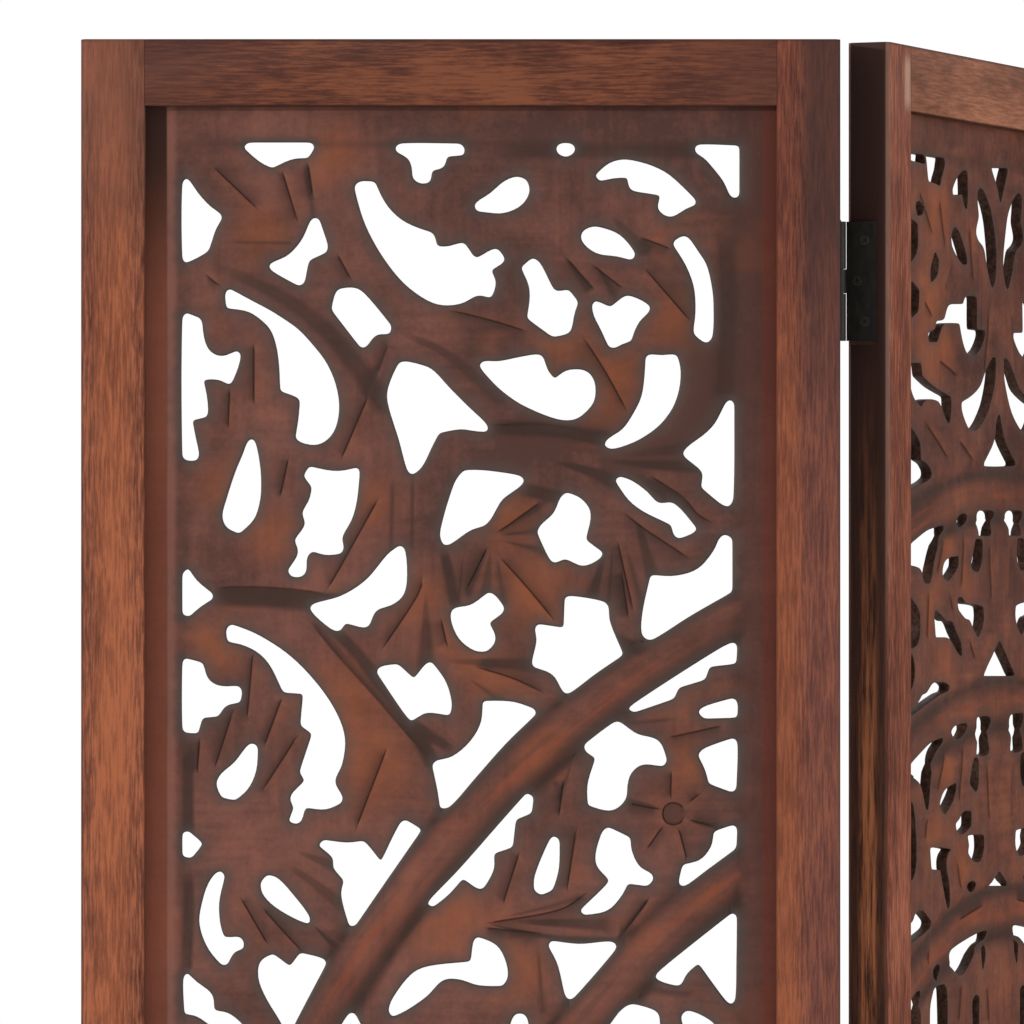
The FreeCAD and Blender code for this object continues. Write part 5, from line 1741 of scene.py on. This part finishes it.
def wing_hollows():
    """Every hollow of a wing with its copies: how dark, its half widths in pixels, and its line."""
    hollows = []
    for hollow_sets, is_vine in ((WING_HOLLOWS, False), (WING_VINE_HOLLOWS, True)):
        for dark, shapes in hollow_sets.items():
            for start, end, line in shapes:
                lines = wing_strokes([], [line]) if is_vine else wing_strokes([line], [])
                count = len(lines) // 2
                lines = lines[:count] + [mirror[::-1] for mirror in lines[count:]]
                hollows += [(dark, start, end, copy) for copy in lines]
    return hollows


wing_warm = {reach: wing_strokes([[spot] for spot in spots], []) for reach, spots in WING_WARM_PIXELS.items()}
middle_warm = {reach: middle_lines([[spot] for spot in spots], [])
               for reach, spots in MIDDLE_WARM_PIXELS.items()}
wing_carving = Carving(
    wing_lines(WING_CORNER_PIXELS, WING_VINE_PIXELS, WING_INNER_PIXELS, WING_INNER_LEAVES_POLAR,
               WING_HEART_POLAR),
    wing_strokes(WING_VEIN_PIXELS, WING_VINE_VEIN_PIXELS), wing_strokes(WING_FOLD_PIXELS, []),
    wing_hollows(), wing_warm, WING_RING_CENTRE_PX, WING_RIM, WING_LEAF_SWELL)
middle_carving = Carving(
    middle_lines(MIDDLE_LEFT_PIXELS, MIDDLE_AXIS_PIXELS) + rose_lines(),
    middle_lines(MIDDLE_VEIN_PIXELS, []), [], [], middle_warm, MIDDLE_RING_CENTRE_PX, MIDDLE_RIM,
    MIDDLE_LEAF_SWELL)
wing_parts = board_parts(wing_carving)
middle_parts = board_parts(middle_carving)
wing_centre = wing_carving.ring_centre
middle_centre = middle_carving.ring_centre
mirrored_centre = wing_centre * np.array([-1, 1])

# How far the grain of each board lies from where the noise starts.
LEFT_GRAIN = (0, 0, 0)
MIDDLE_GRAIN = (0.4, 0, 0.2)
RIGHT_GRAIN = (0.9, 0, 0.5)
carved_board("left", wing_parts, False,
             board_wood("left_board_wood", "left", WING_BOARD_TONES, WING_RIM_GREY, LEFT_GRAIN, wing_centre))
carved_board("middle", middle_parts, False,
             board_wood("middle_board_wood", "middle", MIDDLE_BOARD_TONES, MIDDLE_RIM_GREY, MIDDLE_GRAIN,
                        middle_centre))
carved_board("right", wing_parts, True,
             board_wood("right_board_wood", "right", WING_BOARD_TONES, WING_RIM_GREY, RIGHT_GRAIN,
                        mirrored_centre))

bar_index = 0
for panel in PLACES:
    for bar in BARS:
        bar_index += 1
        dressed_bar(f"{panel}_panel_{bar}", f"{panel}_panel", bar_finish(panel, bar, bar_index))

iron = hinge_iron()
for node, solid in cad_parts.items():
    if "hinge" in node:
        solid.data.materials.clear()
        solid.data.materials.append(iron)

BACK_FACE = 1
FRONT_FACE = -1
screws_on = screw_tree(screw_iron())
screws("left_panel", leaf_screws("left", 1, BACK_FACE), screws_on)
screws("middle_panel", leaf_screws("middle", -1, BACK_FACE) + leaf_screws("middle", 1, FRONT_FACE), screws_on)
screws("right_panel", leaf_screws("right", -1, FRONT_FACE), screws_on)


# Floor, light and camera

FLOOR_SIZE = 14.0
FLOOR_STEPS = 8
FLOOR_CLOUDS = ((1.5, 1.5, 1.5), 2.0)
FLOOR_PLACES = (0.3, 0.7)
FLOOR_COLOURS = (srgb(232, 231, 229), srgb(238, 237, 235))
FLOOR_ROUGHNESS = 0.8
AMBIENT = 0.58
WHITE = (1, 1, 1, 1)
LEFT_PANEL_MIDDLE = (-0.3, -0.2, 1.35)
MIDDLE_PANEL_MIDDLE = (0.0, 0.0, 1.3)
LAMPS = {
    "window_left": {"place": (-5.0, -3.5, 2.5), "target": LEFT_PANEL_MIDDLE, "width": 0.25, "height": 0.25,
                    "power": 190},
    "window_right": {"place": (2.8, -0.9, 1.5), "target": MIDDLE_PANEL_MIDDLE, "width": 1.2, "height": 1.6,
                     "power": 42},
}
CAMERA_PLACE = (-0.2710, -3.506, 1.4001)
CAMERA_LENS = 219.6
CAMERA_SENSOR_WIDTH = 36
LEVEL_VIEW_DEG = 90


def floor():
    work = bmesh.new()
    bmesh.ops.create_grid(work, x_segments=FLOOR_STEPS, y_segments=FLOOR_STEPS, size=FLOOR_SIZE / 2)
    mesh = bpy.data.meshes.new("floor")
    work.to_mesh(mesh)
    work.free()
    pale = Finish("pale_floor")
    colour = pale.ramp(pale.clouds(pale.places(), *FLOOR_CLOUDS), FLOOR_PLACES, FLOOR_COLOURS)
    mesh.materials.append(pale.surface(Base_Color=colour, Roughness=FLOOR_ROUGHNESS))
    linked("floor", mesh)


def white_room():
    """Plain soft light from all round; the eye and mirrors see white."""
    world = bpy.data.worlds.new("white_room")
    world.use_nodes = True
    room = Nodes(world.node_tree)
    path = room.make("ShaderNodeLightPath")
    seen = Wire(room, path.outputs["Is Camera Ray"])
    for ray in ("Is Glossy Ray", "Is Transmission Ray"):
        seen = seen.sum_of("MAXIMUM", seen, Wire(room, path.outputs[ray]))
    strength = room.node("ShaderNodeMapRange", None, {"To Min": AMBIENT, "To Max": 1.0, "Value": seen})
    light = room.node("ShaderNodeBackground", None, {"Color": WHITE, "Strength": strength})
    room.make("ShaderNodeOutputWorld", None, {"Surface": light})
    bpy.context.scene.world = world


def soft_lamp(name, place, target, width, height, power):
    lamp = bpy.data.lights.new(name, "AREA")
    lamp.shape = "RECTANGLE"
    lamp.size = width
    lamp.size_y = height
    lamp.energy = power
    lamp_object = linked(name, lamp)
    lamp_object.location = place
    aim = Vector(target) - Vector(place)
    lamp_object.rotation_euler = aim.to_track_quat("-Z", "Y").to_euler()


def camera():
    data = bpy.data.cameras.new("camera")
    data.lens = CAMERA_LENS
    data.sensor_width = CAMERA_SENSOR_WIDTH
    eye = linked("camera", data)
    level = Matrix.Rotation(math.radians(LEVEL_VIEW_DEG), 4, "X")
    eye.matrix_world = Matrix.Translation(CAMERA_PLACE) @ level
    bpy.context.scene.camera = eye


floor()
white_room()
for name, settings in LAMPS.items():
    soft_lamp(name, **settings)
camera()
bpy.context.scene.view_settings.view_transform = "Standard"
